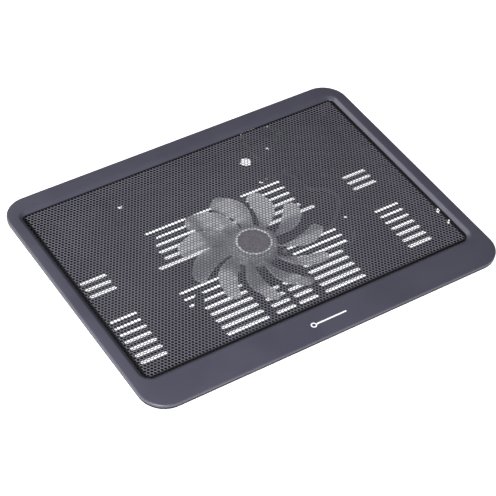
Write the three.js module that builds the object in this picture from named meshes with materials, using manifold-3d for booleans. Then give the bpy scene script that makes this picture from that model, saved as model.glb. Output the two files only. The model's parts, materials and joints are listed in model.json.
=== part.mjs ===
// Laptop cooling pad: a moulded bezel and belly round a perforated screen, with one large fan,
// a pair of fold-out rear legs and a small power board inside.
// Millimetres, +Z up, X to the right, Y to the back. The rubber feet stand on z = 0.
import * as THREE from "three";
import { mergeVertices } from "three/addons/utils/BufferGeometryUtils.js";
import Module from "manifold-3d";

const wasm = await Module();
wasm.setup();

// Casing
const WIDTH = 330;
const DEPTH = 250;
const CORNER = 22;
const TOP = 24; // top face of the bezel
const BEZEL_PLATE = 2;
const BEZEL_EDGE = 1.2; // rounding of the bezel's outer edge
const OPENING = { x: 155.5, front: -96.6, back: 110.5, frontCorner: 11, backCorner: 8 };
const BEVEL_WIDTH = 3.1;
const BEVEL_DROP = 2.4;
const LIP_BOTTOM = 21.3;
const LIP_WALL = 2.4;
const SCREEN = { bottom: 20.6, thickness: 0.6, reach: 1.9 };
const FLANGE = { bottom: 19.1, top: 20.5, inset: 0.3 };
const UPSTAND = { top: 21.7, wall: 1.6 };
const WALL = 2;
const FLOOR_BOTTOM = 1.6;
const FLOOR_TOP = FLOOR_BOTTOM + WALL;
const BELLY = { x: 151, front: -106, back: 113, corner: 14, flare: 4.5, edge: 1.5 };

// Floor slots: rows run along X and repeat along Y on both sides of a plain band
const SLOT_WIDTH = 4;
const SLOT_PITCH = 7.93;
const BACK_ROW = 17.1;
const FRONT_ROW = -14.5;
const SLOT_COLUMNS = {
  side: { from: 115, to: 139.3, back: [0, 2], front: [0, 6] },
  inner: { from: 1.5, to: 19.9, back: [2, 5], front: [4, 7] },
  outer: { from: 26.7, to: 66.5, back: [0, 5], front: [0, 7] },
  long: { from: 66.5, to: 76.2, back: [0, 0], front: [0, 2] },
};

// Raised bays of the floor
const BAY_TOP = 15.3;
const BAY_WALL = 1.8;
const LEG_BAY = { from: 87.4, to: 130, front: 46.6, back: 95.1 };
const TRAY = { left: -77.6, right: 56.3, front: 66, back: 95.1 };
const TRAY_GROOVE = { left: -68, right: 43.7, front: 79.6, back: 87.4, depth: 4 };
// Openings at the back of the tray, where a stowed lead leaves it
const LEAD_NOTCHES = [
  { from: -72, to: -58, front: 92.3, back: 99, top: 6 },
  { from: 50, to: 59.6, front: 84, back: 97.5, top: 10.8 },
];
const TRAY_TABS = { half: 4.5, reach: 8, front: [-50, 25], back: [-16, 16] };
const SCOOP = { x: 106.5, radius: 8, height: 6.5, skin: 1.6 }; // thumb scoop in front of a leg
const POSTS = [[-71.5, -37.5], [-71.5, 36.6], [79, -39], [73.5, 38]];
const POST_RADIUS = 4;
const BOSS_RADIUS = 2.4;

// Through holes as [x, y, radius, sides], and vents in the side walls as [front, back]
const ROUND_HOLES = [
  [46.6, 80.6, 5.5, 20], [-73.2, 84.4, 2.8, 12], [90.3, -7.1, 1.9, 10],
  [52, 63.2, 2.1, 10], [58.3, 64.6, 1.5, 10], [58.2, 71, 1.4, 10],
];
const SIDE_VENTS = [[-52, -47], [-66, -62.5]];
const VENT = { bottom: 13, top: 18.4, from: 146, to: 160 };
const PILOT_RADIUS = 1.1; // holes that the small screws bite into

// Casing screws and feet
const SCREW_SPOTS = [
  [-118, -117], [118, -117], [-118, 120.2], [118, 120.2],
  [-160.1, 45], [160.1, 45], [-160.1, -50], [160.1, -50],
];
const FOOT_SPOTS = [[-134, -90], [134, -90], [-134, 102], [134, 102]];
const FOOT_RADIUS = 6;
const EMBLEM_Y = -110.5;
const EMBLEM_DEPTH = 0.2;

// Fan
const FAN_Y = -4.9;
const BLADES = 11;
const FIRST_BLADE = 1.5; // degrees from the X axis
const BLADE = { root: 18.6, tip: 62, low: 7.4, high: 15.2, thickness: 1.2, sweep: 22, arc: 24 };
const HUB = { radius: 19.5, bottom: 6.8, top: 16.2, wall: 1.5 };
const CUP = { radius: 17.6, wall: 0.7, bottom: 6.9, top: 14.7 };
const MAGNET = { outer: 16.6, inner: 15.1, bottom: 7.4, top: 13.4 };
const SHAFT_RADIUS = 1;
const SLEEVE = { outer: 2.9, inner: 1.3, bottom: 5.6, top: 13.4 };
const MOTOR_BASE = { radius: 20.8, bottom: 3.7, top: 5.3, tube: 4.4, tubeTop: 13.2, ear: 25.5 };
const STATOR = { core: 6.2, arm: 1.7, shoe: 14.3, bottom: 8, top: 11 };

// Legs
const LEG = { width: 37, axisY: 87.8, axisZ: 6.2, tipY: 50.6, bottom: 1.9, top: 9.4, skin: 2 };
const LEG_MIDDLE = (LEG_BAY.from + LEG_BAY.to) / 2;
const TRUNNION_RADIUS = 2;
const RUNNING_GAP = 0.3;
const LEG_RIB = 1.2;

// Power board at the rear wall
const COVER = { left: 60.2, right: 81.5, front: 60.2, back: 95.1, bottom: 3.7, wall: 1.4 };
const BOARD = { bottom: 6, top: 7.6 };
const SOCKET = { left: 63, right: 77.5, bottom: 7.7, top: 14.7, back: 99, mouth: 113.6, sheet: 0.4 };
const SWITCH = { x: 88.4, width: 8.6, front: 103, back: 111.4, bottom: 7.7, top: 12.7, travel: 2 };
const KNOB = { width: 3, height: 2.4, reach: 115.8 };
const KNOB_Z = 10.2;
const LAMP = { x: 71.8, y: 85.4 };
const BOARD_SCREWS = [[66, 78], [95.6, 105]];
const BOARD_EDGE = { left: 61.9, tongue: 79.8, right: 99, front: 64, step: 96, back: 110.3 };
const LEAD_GATE = { from: 69, to: 76, top: 11 };
const HEADER = { left: 69.2, right: 74.8, front: 68, back: 72, top: 12.2 };
const PLUG = { left: 69.5, right: 74.5, front: 64.3, back: 67.7, top: 11.9 };

// Fan leads: centre line of the pair, from the motor to the plug on the board
const LEAD_RADIUS = 0.6;
const LEAD_SPREAD = 0.9;
const LEAD_ROUTE = [
  [11, -4.9, 4.6], [24, -4.9, 4.5], [40, -6, 4.4], [58, -9, 4.4], [74, -10.5, 4.4], [84, -2, 4.4],
  [93, 6, 4.4], [97.5, 17, 4.4], [93, 28, 4.4], [84, 33, 4.4], [80, 41, 4.4], [84, 50, 4.4],
  [77, 55.5, 5], [72.6, 60.4, 8.4], [72, 64, 9.7],
];

const group = new THREE.Group();

const finishes = {
  bezel: { color: 0x504e59, roughness: 0.5, metalness: 0 },
  belly: { color: 0x3c3a46, roughness: 0.45, metalness: 0 },
  screen: { color: 0x5d5b66, roughness: 0.4, metalness: 0.6 },
  frosted: { color: 0xb9bac2, roughness: 0.35, metalness: 0 },
  steel: { color: 0x9a9a9e, roughness: 0.3, metalness: 1 },
  magnet: { color: 0x2c2a2a, roughness: 0.7, metalness: 0.2 },
  copper: { color: 0xb0662f, roughness: 0.35, metalness: 1 },
  bronze: { color: 0x9a7a45, roughness: 0.4, metalness: 1 },
  board: { color: 0x1f5a36, roughness: 0.5, metalness: 0 },
  nylon: { color: 0xe6e2d6, roughness: 0.5, metalness: 0 },
  black: { color: 0x16161a, roughness: 0.5, metalness: 0 },
  red: { color: 0xa3201c, roughness: 0.45, metalness: 0 },
  rubber: { color: 0x1c1c1e, roughness: 0.9, metalness: 0 },
  silver: { color: 0xd0d1d6, roughness: 0.3, metalness: 0.8 },
  label: { color: 0x9b9ca2, roughness: 0.6, metalness: 0 },
};

// Adds a named piece with its finish
function piece(name, finish, geometry) {
  const mesh = new THREE.Mesh(geometry, new THREE.MeshStandardMaterial(finishes[finish]));
  mesh.name = name;
  group.add(mesh);
}

// A closed geometry as a solid that can be joined and cut
function solid(geometry) {
  const bare = new THREE.BufferGeometry();
  bare.setAttribute("position", geometry.getAttribute("position"));
  if (geometry.index) bare.setIndex(geometry.index);
  const merged = mergeVertices(bare, 1e-4);
  return new wasm.Manifold(
    new wasm.Mesh({
      numProp: 3,
      vertProperties: merged.attributes.position.array,
      triVerts: new Uint32Array(merged.index.array),
    }),
  );
}

// A joined or cut solid as a geometry
function geometryOf(made) {
  const mesh = made.getMesh();
  const shared = new THREE.BufferGeometry();
  shared.setAttribute("position", new THREE.BufferAttribute(mesh.vertProperties.slice(), 3));
  shared.setIndex(new THREE.BufferAttribute(mesh.triVerts.slice(), 1));
  const flat = shared.toNonIndexed();
  flat.computeVertexNormals();
  return flat;
}

// Rectangle with round corners; the front and back corners may differ
function roundedRect(x0, x1, y0, y1, front, back = front) {
  const shape = new THREE.Shape();
  const quarter = Math.PI / 2;
  shape.moveTo(x0 + front, y0);
  shape.lineTo(x1 - front, y0);
  shape.absarc(x1 - front, y0 + front, front, -quarter, 0);
  shape.lineTo(x1, y1 - back);
  shape.absarc(x1 - back, y1 - back, back, 0, quarter);
  shape.lineTo(x0 + back, y1);
  shape.absarc(x0 + back, y1 - back, back, quarter, 2 * quarter);
  shape.lineTo(x0, y0 + front);
  shape.absarc(x0 + front, y0 + front, front, 2 * quarter, 3 * quarter);
  return shape;
}

// A flat outline made solid between two heights
function slab(shape, z0, z1, curveSegments = 3) {
  const settings = { depth: z1 - z0, bevelEnabled: false, curveSegments };
  return new THREE.ExtrudeGeometry(shape, settings).translate(0, 0, z0);
}

// The same with both rims rounded inwards over a height of edge
function softSlab(shape, z0, z1, edge, curveSegments = 3) {
  const settings = {
    depth: z1 - z0 - 2 * edge,
    bevelThickness: edge,
    bevelSize: edge,
    bevelOffset: -edge,
    bevelSegments: 2,
    curveSegments,
  };
  return new THREE.ExtrudeGeometry(shape, settings).translate(0, 0, z0 + edge);
}

function block(x0, x1, y0, y1, z0, z1) {
  const geometry = new THREE.BoxGeometry(x1 - x0, y1 - y0, z1 - z0);
  return geometry.translate((x0 + x1) / 2, (y0 + y1) / 2, (z0 + z1) / 2);
}

function cylinder(radius, z0, z1, x = 0, y = 0, sides = 14) {
  const geometry = new THREE.CylinderGeometry(radius, radius, z1 - z0, sides).rotateX(Math.PI / 2);
  return geometry.translate(x, y, (z0 + z1) / 2);
}

// A profile of [radius, height] turned about the vertical through x, y
function turned(profile, sides, x = 0, y = 0) {
  const points = profile.map(([radius, z]) => new THREE.Vector2(radius, z));
  return new THREE.LatheGeometry(points, sides).rotateX(Math.PI / 2).translate(x, y, 0);
}

function tube(outer, inner, z0, z1, sides, x = 0, y = 0) {
  const profile = [[inner, z0], [outer, z0], [outer, z1], [inner, z1], [inner, z0]];
  return turned(profile, sides, x, y);
}

// Widens a geometry evenly from its size at z0 by growX and growY on each side at z1
function flare(geometry, z0, z1, growX, growY) {
  geometry.computeBoundingBox();
  const box = geometry.boundingBox;
  const halfX = (box.max.x - box.min.x) / 2;
  const halfY = (box.max.y - box.min.y) / 2;
  const middleX = (box.max.x + box.min.x) / 2;
  const middleY = (box.max.y + box.min.y) / 2;
  const position = geometry.getAttribute("position");
  for (let i = 0; i < position.count; i++) {
    const part = THREE.MathUtils.clamp((position.getZ(i) - z0) / (z1 - z0), 0, 1);
    const x = middleX + (position.getX(i) - middleX) * (1 + (part * growX) / halfX);
    const y = middleY + (position.getY(i) - middleY) * (1 + (part * growY) / halfY);
    position.setXY(i, x, y);
  }
  return geometry;
}

// ---- Casing

// The screen opening's outline, grown by the given amount on every side
function openingOutline(grow) {
  return roundedRect(
    -OPENING.x - grow,
    OPENING.x + grow,
    OPENING.front - grow,
    OPENING.back + grow,
    Math.max(OPENING.frontCorner + grow, 1),
    Math.max(OPENING.backCorner + grow, 1),
  );
}

function topFrame() {
  const under = TOP - BEZEL_PLATE;
  const outline = roundedRect(-WIDTH / 2, WIDTH / 2, -DEPTH / 2, DEPTH / 2, CORNER);
  const sheet = softSlab(outline, under - 2, TOP, BEZEL_EDGE, 5);
  const below = block(-WIDTH, WIDTH, -DEPTH, DEPTH, under - 10, under);
  const lip = slab(openingOutline(LIP_WALL - BEVEL_WIDTH), LIP_BOTTOM, under + 0.5);
  let frame = solid(sheet).subtract(solid(below)).add(solid(lip));
  for (const [x, y] of SCREW_SPOTS) {
    frame = frame.add(solid(cylinder(2.6, FLANGE.top + 0.3, under + 0.5, x, y, 10)));
    frame = frame.subtract(solid(cylinder(1.5, FLANGE.top, under + 0.9, x, y, 10)));
  }
  const throat = slab(openingOutline(-BEVEL_WIDTH), LIP_BOTTOM - 1, TOP - BEVEL_DROP + 0.01);
  const bevel = slab(openingOutline(-BEVEL_WIDTH), TOP - BEVEL_DROP, TOP + 0.01);
  const sloped = flare(bevel, TOP - BEVEL_DROP, TOP, BEVEL_WIDTH, BEVEL_WIDTH);
  const recess = emblemSolid(RUNNING_GAP, TOP - EMBLEM_DEPTH - 0.1, TOP + 1);
  return geometryOf(frame.subtract(solid(throat)).subtract(solid(sloped)).subtract(recess));
}

function meshScreen() {
  const outline = openingOutline(SCREEN.reach - BEVEL_WIDTH);
  return slab(outline, SCREEN.bottom, SCREEN.bottom + SCREEN.thickness);
}

// Outer or inner skin of the belly: straight to the flange, wider at the top
function bellySkin(inset, z0, z1, edge) {
  const outline = roundedRect(
    -BELLY.x + inset,
    BELLY.x - inset,
    BELLY.front + inset,
    BELLY.back - inset,
    BELLY.corner - inset,
  );
  const skin = edge > 0 ? softSlab(outline, z0, z1, edge) : slab(outline, z0, z1);
  return solid(flare(skin, FLOOR_BOTTOM, FLANGE.top, BELLY.flare, BELLY.flare * 0.8));
}

function flangeAndUpstand() {
  const outer = roundedRect(
    -WIDTH / 2 + FLANGE.inset,
    WIDTH / 2 - FLANGE.inset,
    -DEPTH / 2 + FLANGE.inset,
    DEPTH / 2 - FLANGE.inset,
    CORNER,
  );
  const edge = FLANGE.inset + UPSTAND.wall;
  const inner = roundedRect(
    -WIDTH / 2 + edge,
    WIDTH / 2 - edge,
    -DEPTH / 2 + edge,
    DEPTH / 2 - edge,
    CORNER - UPSTAND.wall,
  );
  const rim = solid(slab(outer, FLANGE.bottom, UPSTAND.top, 5));
  return rim.subtract(solid(slab(inner, FLANGE.top, UPSTAND.top + 1, 5)));
}

function slotRows() {
  const cuts = [];
  for (const { from, to, back, front } of Object.values(SLOT_COLUMNS)) {
    for (const [first, last, start, step] of [
      [...back, BACK_ROW, SLOT_PITCH],
      [...front, FRONT_ROW, -SLOT_PITCH],
    ]) {
      for (let row = first; row <= last; row++) {
        const y = start + row * step;
        for (const side of [-1, 1]) {
          const ends = [side * from, side * to].sort((a, b) => a - b);
          const overlap = from === SLOT_COLUMNS.long.from ? 1 : 0;
          const low = ends[0] - (side > 0 ? overlap : 0);
          const high = ends[1] + (side < 0 ? overlap : 0);
          const half = SLOT_WIDTH / 2;
          cuts.push(solid(block(low, high, y - half, y + half, 0, FLOOR_TOP + 1)));
        }
      }
    }
  }
  return wasm.Manifold.union(cuts);
}

// The bay that a leg folds into, with a thumb scoop in front of it
function legBay(side) {
  const xs = [side * LEG_BAY.from, side * LEG_BAY.to].sort((a, b) => a - b);
  const box = roundedRect(xs[0], xs[1], LEG_BAY.front, LEG_BAY.back, 2);
  const inside = roundedRect(
    xs[0] + BAY_WALL,
    xs[1] - BAY_WALL,
    LEG_BAY.front + BAY_WALL,
    LEG_BAY.back - BAY_WALL,
    1,
  );
  const dome = (skin) =>
    solid(
      new THREE.SphereGeometry(1, 12, 8)
        .rotateX(Math.PI / 2)
        .scale(SCOOP.radius - skin, SCOOP.radius - skin, SCOOP.height - skin)
        .translate(side * SCOOP.x, LEG_BAY.front + 1, FLOOR_BOTTOM),
    );
  const bore = crossCylinder(TRUNNION_RADIUS + RUNNING_GAP, xs[0] - 1, xs[1] + 1, LEG.axisY, LEG.axisZ);
  const lower = solid(block(-WIDTH, WIDTH, -DEPTH, DEPTH, -20, FLOOR_BOTTOM + 0.2));
  return {
    walls: solid(slab(box, FLOOR_BOTTOM + 0.2, BAY_TOP)).add(dome(0).subtract(lower)),
    hollow: solid(slab(inside, 0, BAY_TOP - BAY_WALL)).add(dome(SCOOP.skin)),
    bore: solid(bore),
  };
}

// The bay that the lead is stowed in, with a groove along its roof
function trayBay() {
  const box = roundedRect(TRAY.left, TRAY.right, TRAY.front, TRAY.back, 2);
  const inside = roundedRect(
    TRAY.left + BAY_WALL,
    TRAY.right - BAY_WALL,
    TRAY.front + BAY_WALL,
    TRAY.back - BAY_WALL,
    1,
  );
  const groove = TRAY_GROOVE;
  const grooveBottom = BAY_TOP - groove.depth;
  const cut = block(groove.left, groove.right, groove.front, groove.back, grooveBottom, BAY_TOP + 1);
  const keel = block(
    groove.left - BAY_WALL,
    groove.right + BAY_WALL,
    groove.front - BAY_WALL,
    groove.back + BAY_WALL,
    grooveBottom - BAY_WALL,
    BAY_TOP,
  );
  return {
    walls: solid(slab(box, FLOOR_BOTTOM + 0.2, BAY_TOP)).subtract(solid(cut)),
    hollow: solid(slab(inside, 0, BAY_TOP - BAY_WALL)).subtract(solid(keel)),
  };
}

function bottomShell() {
  let shell = bellySkin(0, FLOOR_BOTTOM, FLANGE.top, BELLY.edge).add(flangeAndUpstand());
  shell = shell.subtract(bellySkin(WALL, FLOOR_TOP, TOP + 5, 0));
  const tray = trayBay();
  shell = shell.add(tray.walls).subtract(tray.hollow);
  for (const side of [-1, 1]) {
    const bay = legBay(side);
    shell = shell.add(bay.walls).subtract(bay.hollow).subtract(bay.bore);
  }
  for (const [x, y] of POSTS) {
    const top = SCREEN.bottom - RUNNING_GAP;
    shell = shell.add(solid(cylinder(POST_RADIUS, FLOOR_TOP - 0.5, top, x, y, 16)));
  }
  for (const [x, y] of BOARD_SCREWS) {
    shell = shell.add(solid(cylinder(BOSS_RADIUS, FLOOR_TOP - 0.5, BOARD.bottom - 0.1, x, y, 10)));
    shell = shell.subtract(solid(cylinder(PILOT_RADIUS, FLOOR_TOP, BOARD.bottom, x, y, 10)));
  }
  for (const [x, y] of motorScrewSpots()) {
    const pilot = cylinder(PILOT_RADIUS, FLOOR_BOTTOM + 0.4, FLOOR_TOP + 1, x, y, 10);
    shell = shell.subtract(solid(pilot));
  }
  shell = shell.subtract(slotRows());
  for (const [x, y] of SCREW_SPOTS) {
    shell = shell.subtract(solid(cylinder(1.5, FLANGE.bottom - 1, FLANGE.top + 1, x, y, 10)));
  }
  for (const [x, y, radius, sides] of ROUND_HOLES) {
    shell = shell.subtract(solid(cylinder(radius, 0, BAY_TOP + 1, x, y, sides)));
  }
  return geometryOf(shell.subtract(wallCuts()).add(leadHooks()));
}

// Windows for the socket and the switch, and vents high in the side walls
function wallCuts() {
  const gap = 0.4;
  const back = BELLY.back - 6;
  const cuts = [
    block(
      SOCKET.left - gap,
      SOCKET.right + gap,
      back,
      DEPTH / 2,
      SOCKET.bottom - gap,
      SOCKET.top + gap,
    ),
    block(
      SWITCH.x - KNOB.width / 2 - SWITCH.travel / 2 - gap,
      SWITCH.x + KNOB.width / 2 + SWITCH.travel / 2 + gap,
      back,
      DEPTH / 2,
      KNOB_Z - KNOB.height / 2 - gap,
      KNOB_Z + KNOB.height / 2 + gap,
    ),
  ];
  for (const notch of LEAD_NOTCHES) {
    cuts.push(block(notch.from, notch.to, notch.front, notch.back, 0, notch.top));
  }
  for (const side of [-1, 1]) {
    const xs = [side * VENT.from, side * VENT.to].sort((a, b) => a - b);
    for (const [front, rear] of SIDE_VENTS) {
      cuts.push(block(xs[0], xs[1], front, rear, VENT.bottom, VENT.top));
    }
  }
  return wasm.Manifold.union(cuts.map(solid));
}

// Tabs across the mouth of the tray that keep a stowed lead in
function leadHooks() {
  const { half, reach, front, back } = TRAY_TABS;
  const tab = (x, y0, y1) => solid(block(x - half, x + half, y0, y1, FLOOR_BOTTOM, FLOOR_TOP));
  const inner = TRAY.front + BAY_WALL;
  const outer = TRAY.back - BAY_WALL;
  const tabs = front.map((x) => tab(x, inner - 1, inner + reach));
  tabs.push(...back.map((x) => tab(x, outer - reach, outer + 1)));
  return wasm.Manifold.union(tabs);
}

function panHeadScrew(x, y, z, shank, length, head, height) {
  // The head hangs below z and the shank stands up from it
  const profile = [
    [0, z - height], [head * 0.7, z - height], [head, z - height * 0.45], [head, z],
    [shank, z], [shank, z + length - 0.6], [shank * 0.4, z + length], [0, z + length],
  ];
  return turned(profile, 12, x, y);
}

function roundHeadScrew(x, y, z, shank, length, head, height) {
  // The head stands above z and the shank hangs below it
  const profile = [
    [0, z - length], [shank * 0.4, z - length], [shank, z - length + 0.5], [shank, z],
    [head, z], [head, z + height * 0.5], [head * 0.65, z + height], [0, z + height],
  ];
  return turned(profile, 10, x, y);
}

function casing() {
  piece("top_frame", "bezel", topFrame());
  piece("mesh_screen", "screen", meshScreen());
  piece("bottom_shell", "belly", bottomShell());
  SCREW_SPOTS.forEach(([x, y], i) => {
    const screw = panHeadScrew(x, y, FLANGE.bottom - 0.1, 1.2, 3.7, 2.3, 1.1);
    piece("casing_screw_" + (i + 1), "steel", screw);
  });
  FOOT_SPOTS.forEach(([x, y], i) => {
    const top = FLOOR_BOTTOM - 0.05;
    const profile = [[0, 0], [FOOT_RADIUS - 0.7, 0], [FOOT_RADIUS, 0.6], [FOOT_RADIUS, top], [0, top]];
    piece("rubber_foot_" + (i + 1), "rubber", turned(profile, 20, x, y));
  });
  piece("front_emblem", "silver", geometryOf(emblemSolid(0, TOP - EMBLEM_DEPTH, TOP)));
  piece("underside_label", "label", slab(roundedRect(-32, 32, -98, -80, 1.5), 1.4, 1.58));
}

// A plain ring with a bar, inlaid in the front band; grow widens it for its recess
function emblemSolid(grow, z0, z1) {
  const ring = solid(tube(2.5 + grow, 1.5 - grow, z0, z1, 20, -14, EMBLEM_Y));
  const half = 0.7 + grow;
  const outline = roundedRect(-11.9, 16.5 + grow, EMBLEM_Y - half, EMBLEM_Y + half, half * 0.8);
  return ring.add(solid(slab(outline, z0, z1, 2)));
}

// ---- Fan

function motorScrewSpots() {
  return [90, 210, 330].map((degrees) => {
    const angle = THREE.MathUtils.degToRad(degrees);
    return [MOTOR_BASE.ear * Math.cos(angle), FAN_Y + MOTOR_BASE.ear * Math.sin(angle)];
  });
}

function motorBase() {
  const { radius, bottom, top, tube: tubeRadius, tubeTop } = MOTOR_BASE;
  const bore = SLEEVE.outer + 0.2;
  const profile = [
    [bore, bottom], [radius, bottom], [radius, top], [tubeRadius, top],
    [tubeRadius, tubeTop], [bore, tubeTop], [bore, bottom],
  ];
  let base = solid(turned(profile, 28, 0, FAN_Y));
  for (const [x, y] of motorScrewSpots()) {
    const ear = new THREE.Shape();
    ear.absarc(x, y, 3.6, 0, 2 * Math.PI);
    base = base.add(solid(slab(ear, bottom, top, 5)));
    const angle = Math.atan2(y - FAN_Y, x);
    const web = new THREE.BoxGeometry(8, 6, top - bottom).rotateZ(angle);
    const middle = MOTOR_BASE.ear - 5;
    web.translate(middle * Math.cos(angle), FAN_Y + middle * Math.sin(angle), (top + bottom) / 2);
    base = base.add(solid(web));
    base = base.subtract(solid(cylinder(1.2, bottom - 1, top + 1, x, y, 10)));
  }
  const channel = block(9, 30, FAN_Y - 2, FAN_Y + 2, bottom + 0.1, top + 1);
  return geometryOf(base.subtract(solid(channel)));
}

// One blade: a curved, pitched plate that is swept back and rounded at its tip
function blade(turn) {
  const plate = new THREE.BoxGeometry(1, 1, 1, 6, 3, 1);
  const position = plate.getAttribute("position");
  const rise = BLADE.high - BLADE.low - BLADE.thickness;
  for (let i = 0; i < position.count; i++) {
    const along = position.getX(i) + 0.5;
    const across = position.getY(i);
    const radius = BLADE.root + along * (BLADE.tip - BLADE.root) - 5 * along ** 4 * (2 * across) ** 2;
    const wide = BLADE.arc * (0.62 + 0.38 * Math.sin(Math.PI * Math.min(along * 0.75, 0.5)));
    const degrees = turn + BLADE.sweep * along ** 1.3 + wide * across * (1 - 0.35 * along ** 5);
    const lift = rise * (0.5 - across) * (1 - 0.25 * along);
    const angle = THREE.MathUtils.degToRad(degrees);
    const z = BLADE.low + lift + rise * 0.12 * along + BLADE.thickness * (position.getZ(i) + 0.5);
    position.setXYZ(i, radius * Math.cos(angle), radius * Math.sin(angle), z);
  }
  return solid(plate.translate(0, FAN_Y, 0));
}

function impeller() {
  const inner = HUB.radius - HUB.wall;
  const ceiling = HUB.top - HUB.wall + 0.3;
  const profile = [
    [0, ceiling], [inner, ceiling], [inner, HUB.bottom], [HUB.radius, HUB.bottom],
    [HUB.radius, HUB.top - 1], [HUB.radius - 1, HUB.top], [0, HUB.top],
  ];
  let rotor = solid(turned(profile, 36, 0, FAN_Y));
  for (let i = 0; i < BLADES; i++) {
    rotor = rotor.add(blade(FIRST_BLADE + (360 / BLADES) * i));
  }
  return geometryOf(rotor);
}

function rotorCup() {
  const { radius, wall, bottom, top } = CUP;
  const bore = SHAFT_RADIUS + 0.05;
  const profile = [
    [bore, top - wall], [radius - wall, top - wall], [radius - wall, bottom], [radius, bottom],
    [radius, top], [bore, top], [bore, top - wall],
  ];
  return turned(profile, 32, 0, FAN_Y);
}

// Four-pole core: a hub with arms and curved shoes
function statorCore() {
  const { core, arm, shoe, bottom, top } = STATOR;
  const bore = MOTOR_BASE.tube + 0.2;
  let made = solid(tube(core, bore, bottom, top, 24));
  for (let i = 0; i < 4; i++) {
    const turn = (i * Math.PI) / 2;
    const limb = block(core - 0.5, shoe - 0.8, -arm, arm, bottom, top).rotateZ(turn);
    const face = new THREE.Shape();
    face.absarc(0, 0, shoe, -0.6, 0.6, false);
    face.absarc(0, 0, shoe - 1.6, 0.6, -0.6, true);
    made = made.add(solid(limb)).add(solid(slab(face, bottom, top, 3).rotateZ(turn)));
  }
  return geometryOf(made.translate(0, FAN_Y, 0));
}

function coil(index) {
  const { core, arm, shoe, bottom, top } = STATOR;
  const gap = 0.3;
  const loop = block(core + 0.6, shoe - 2.6, -arm - 1.6, arm + 1.6, bottom - 1.2, top + 1.2);
  const hole = block(core, shoe, -arm - gap, arm + gap, bottom - gap, top + gap);
  const made = solid(loop).subtract(solid(hole));
  return geometryOf(made).rotateZ((index * Math.PI) / 2).translate(0, FAN_Y, 0);
}

function fan() {
  piece("motor_base", "black", motorBase());
  motorScrewSpots().forEach(([x, y], i) => {
    const screw = roundHeadScrew(x, y, MOTOR_BASE.top + 0.05, 0.8, 3, 1.9, 1);
    piece("motor_screw_" + (i + 1), "steel", screw);
  });
  const sleeve = tube(SLEEVE.outer, SLEEVE.inner, SLEEVE.bottom, SLEEVE.top, 16, 0, FAN_Y);
  piece("bearing_sleeve", "bronze", sleeve);
  piece("stator_core", "steel", statorCore());
  for (let i = 0; i < 4; i++) piece("stator_coil_" + (i + 1), "copper", coil(i));
  const ring = MOTOR_BASE.tube + 0.3;
  piece("motor_board", "board", tube(13.4, ring, MOTOR_BASE.top + 0.2, 6.4, 24, 0, FAN_Y));
  piece("fan_impeller", "frosted", impeller());
  piece("rotor_cup", "steel", rotorCup());
  const magnet = tube(MAGNET.outer, MAGNET.inner, MAGNET.bottom, MAGNET.top, 32, 0, FAN_Y);
  piece("magnet_ring", "magnet", magnet);
  piece("rotor_shaft", "steel", cylinder(SHAFT_RADIUS, 4.2, CUP.top - 0.1, 0, FAN_Y, 12));
  piece("shaft_clip", "nylon", tube(2.4, SHAFT_RADIUS + 0.05, 4.5, 4.9, 12, 0, FAN_Y));
  piece("hub_ring", "silver", tube(15, 14.1, HUB.top + 0.02, HUB.top + 0.35, 36, 0, FAN_Y));
  piece("hub_disc", "black", cylinder(13.4, HUB.top + 0.02, HUB.top + 0.2, 0, FAN_Y, 36));
}

// ---- Legs

// A side view in Y and Z made solid between two places along X
function sideSlab(shape, x0, x1, curveSegments = 3) {
  const turn = new THREE.Matrix4().makeBasis(
    new THREE.Vector3(0, 1, 0),
    new THREE.Vector3(0, 0, 1),
    new THREE.Vector3(1, 0, 0),
  );
  return slab(shape, x0, x1, curveSegments).applyMatrix4(turn);
}

function crossCylinder(radius, x0, x1, y, z, sides = 14) {
  return cylinder(radius, x0, x1, 0, 0, sides).rotateY(Math.PI / 2).translate(0, y, z);
}

// A flap with a round hinge end, a ribbed hollow back and two hinge stubs
function leg(middle) {
  const { width, axisY, axisZ, tipY, bottom, top, skin } = LEG;
  const left = middle - width / 2;
  const right = middle + width / 2;
  const barrel = 3.7;
  const outline = new THREE.Shape();
  outline.moveTo(tipY + 1, bottom);
  outline.lineTo(axisY - 1.5, bottom);
  outline.absarc(axisY, axisZ, barrel, -Math.PI / 2, Math.PI / 2);
  outline.lineTo(axisY - 4, top);
  outline.lineTo(tipY + 3, top - 1.4);
  outline.lineTo(tipY, top - 2.6);
  outline.lineTo(tipY, bottom + 1);
  let flap = solid(sideSlab(outline, left, right));
  const cell = (width - 2 * skin - 2 * LEG_RIB) / 3;
  for (let i = 0; i < 3; i++) {
    const start = left + skin + i * (cell + LEG_RIB);
    const pocket = block(start, start + cell, tipY + 3.4, axisY - 5.4, bottom + skin, top + 1);
    flap = flap.subtract(solid(pocket));
  }
  const reach = (LEG_BAY.to - LEG_BAY.from) / 2 - 0.2;
  const pin = crossCylinder(TRUNNION_RADIUS, middle - reach, middle + reach, axisY, axisZ);
  return geometryOf(flap.add(solid(pin)));
}

function legs() {
  for (const [word, side] of [["left", -1], ["right", 1]]) {
    const middle = side * LEG_MIDDLE;
    piece("rear_leg_" + word, "belly", leg(middle));
    const pad = new THREE.Shape();
    pad.moveTo(LEG.tipY - 0.05, LEG.bottom + 1.4);
    pad.lineTo(LEG.tipY - 0.05, LEG.top - 3);
    pad.lineTo(LEG.tipY - 1, LEG.top - 3);
    pad.lineTo(LEG.tipY - 1.5, LEG.top - 3.5);
    pad.lineTo(LEG.tipY - 1.5, LEG.bottom + 1.9);
    pad.lineTo(LEG.tipY - 1, LEG.bottom + 1.4);
    piece("leg_pad_" + word, "rubber", sideSlab(pad, middle - 13, middle + 13));
  }
}

// ---- Power board

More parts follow.
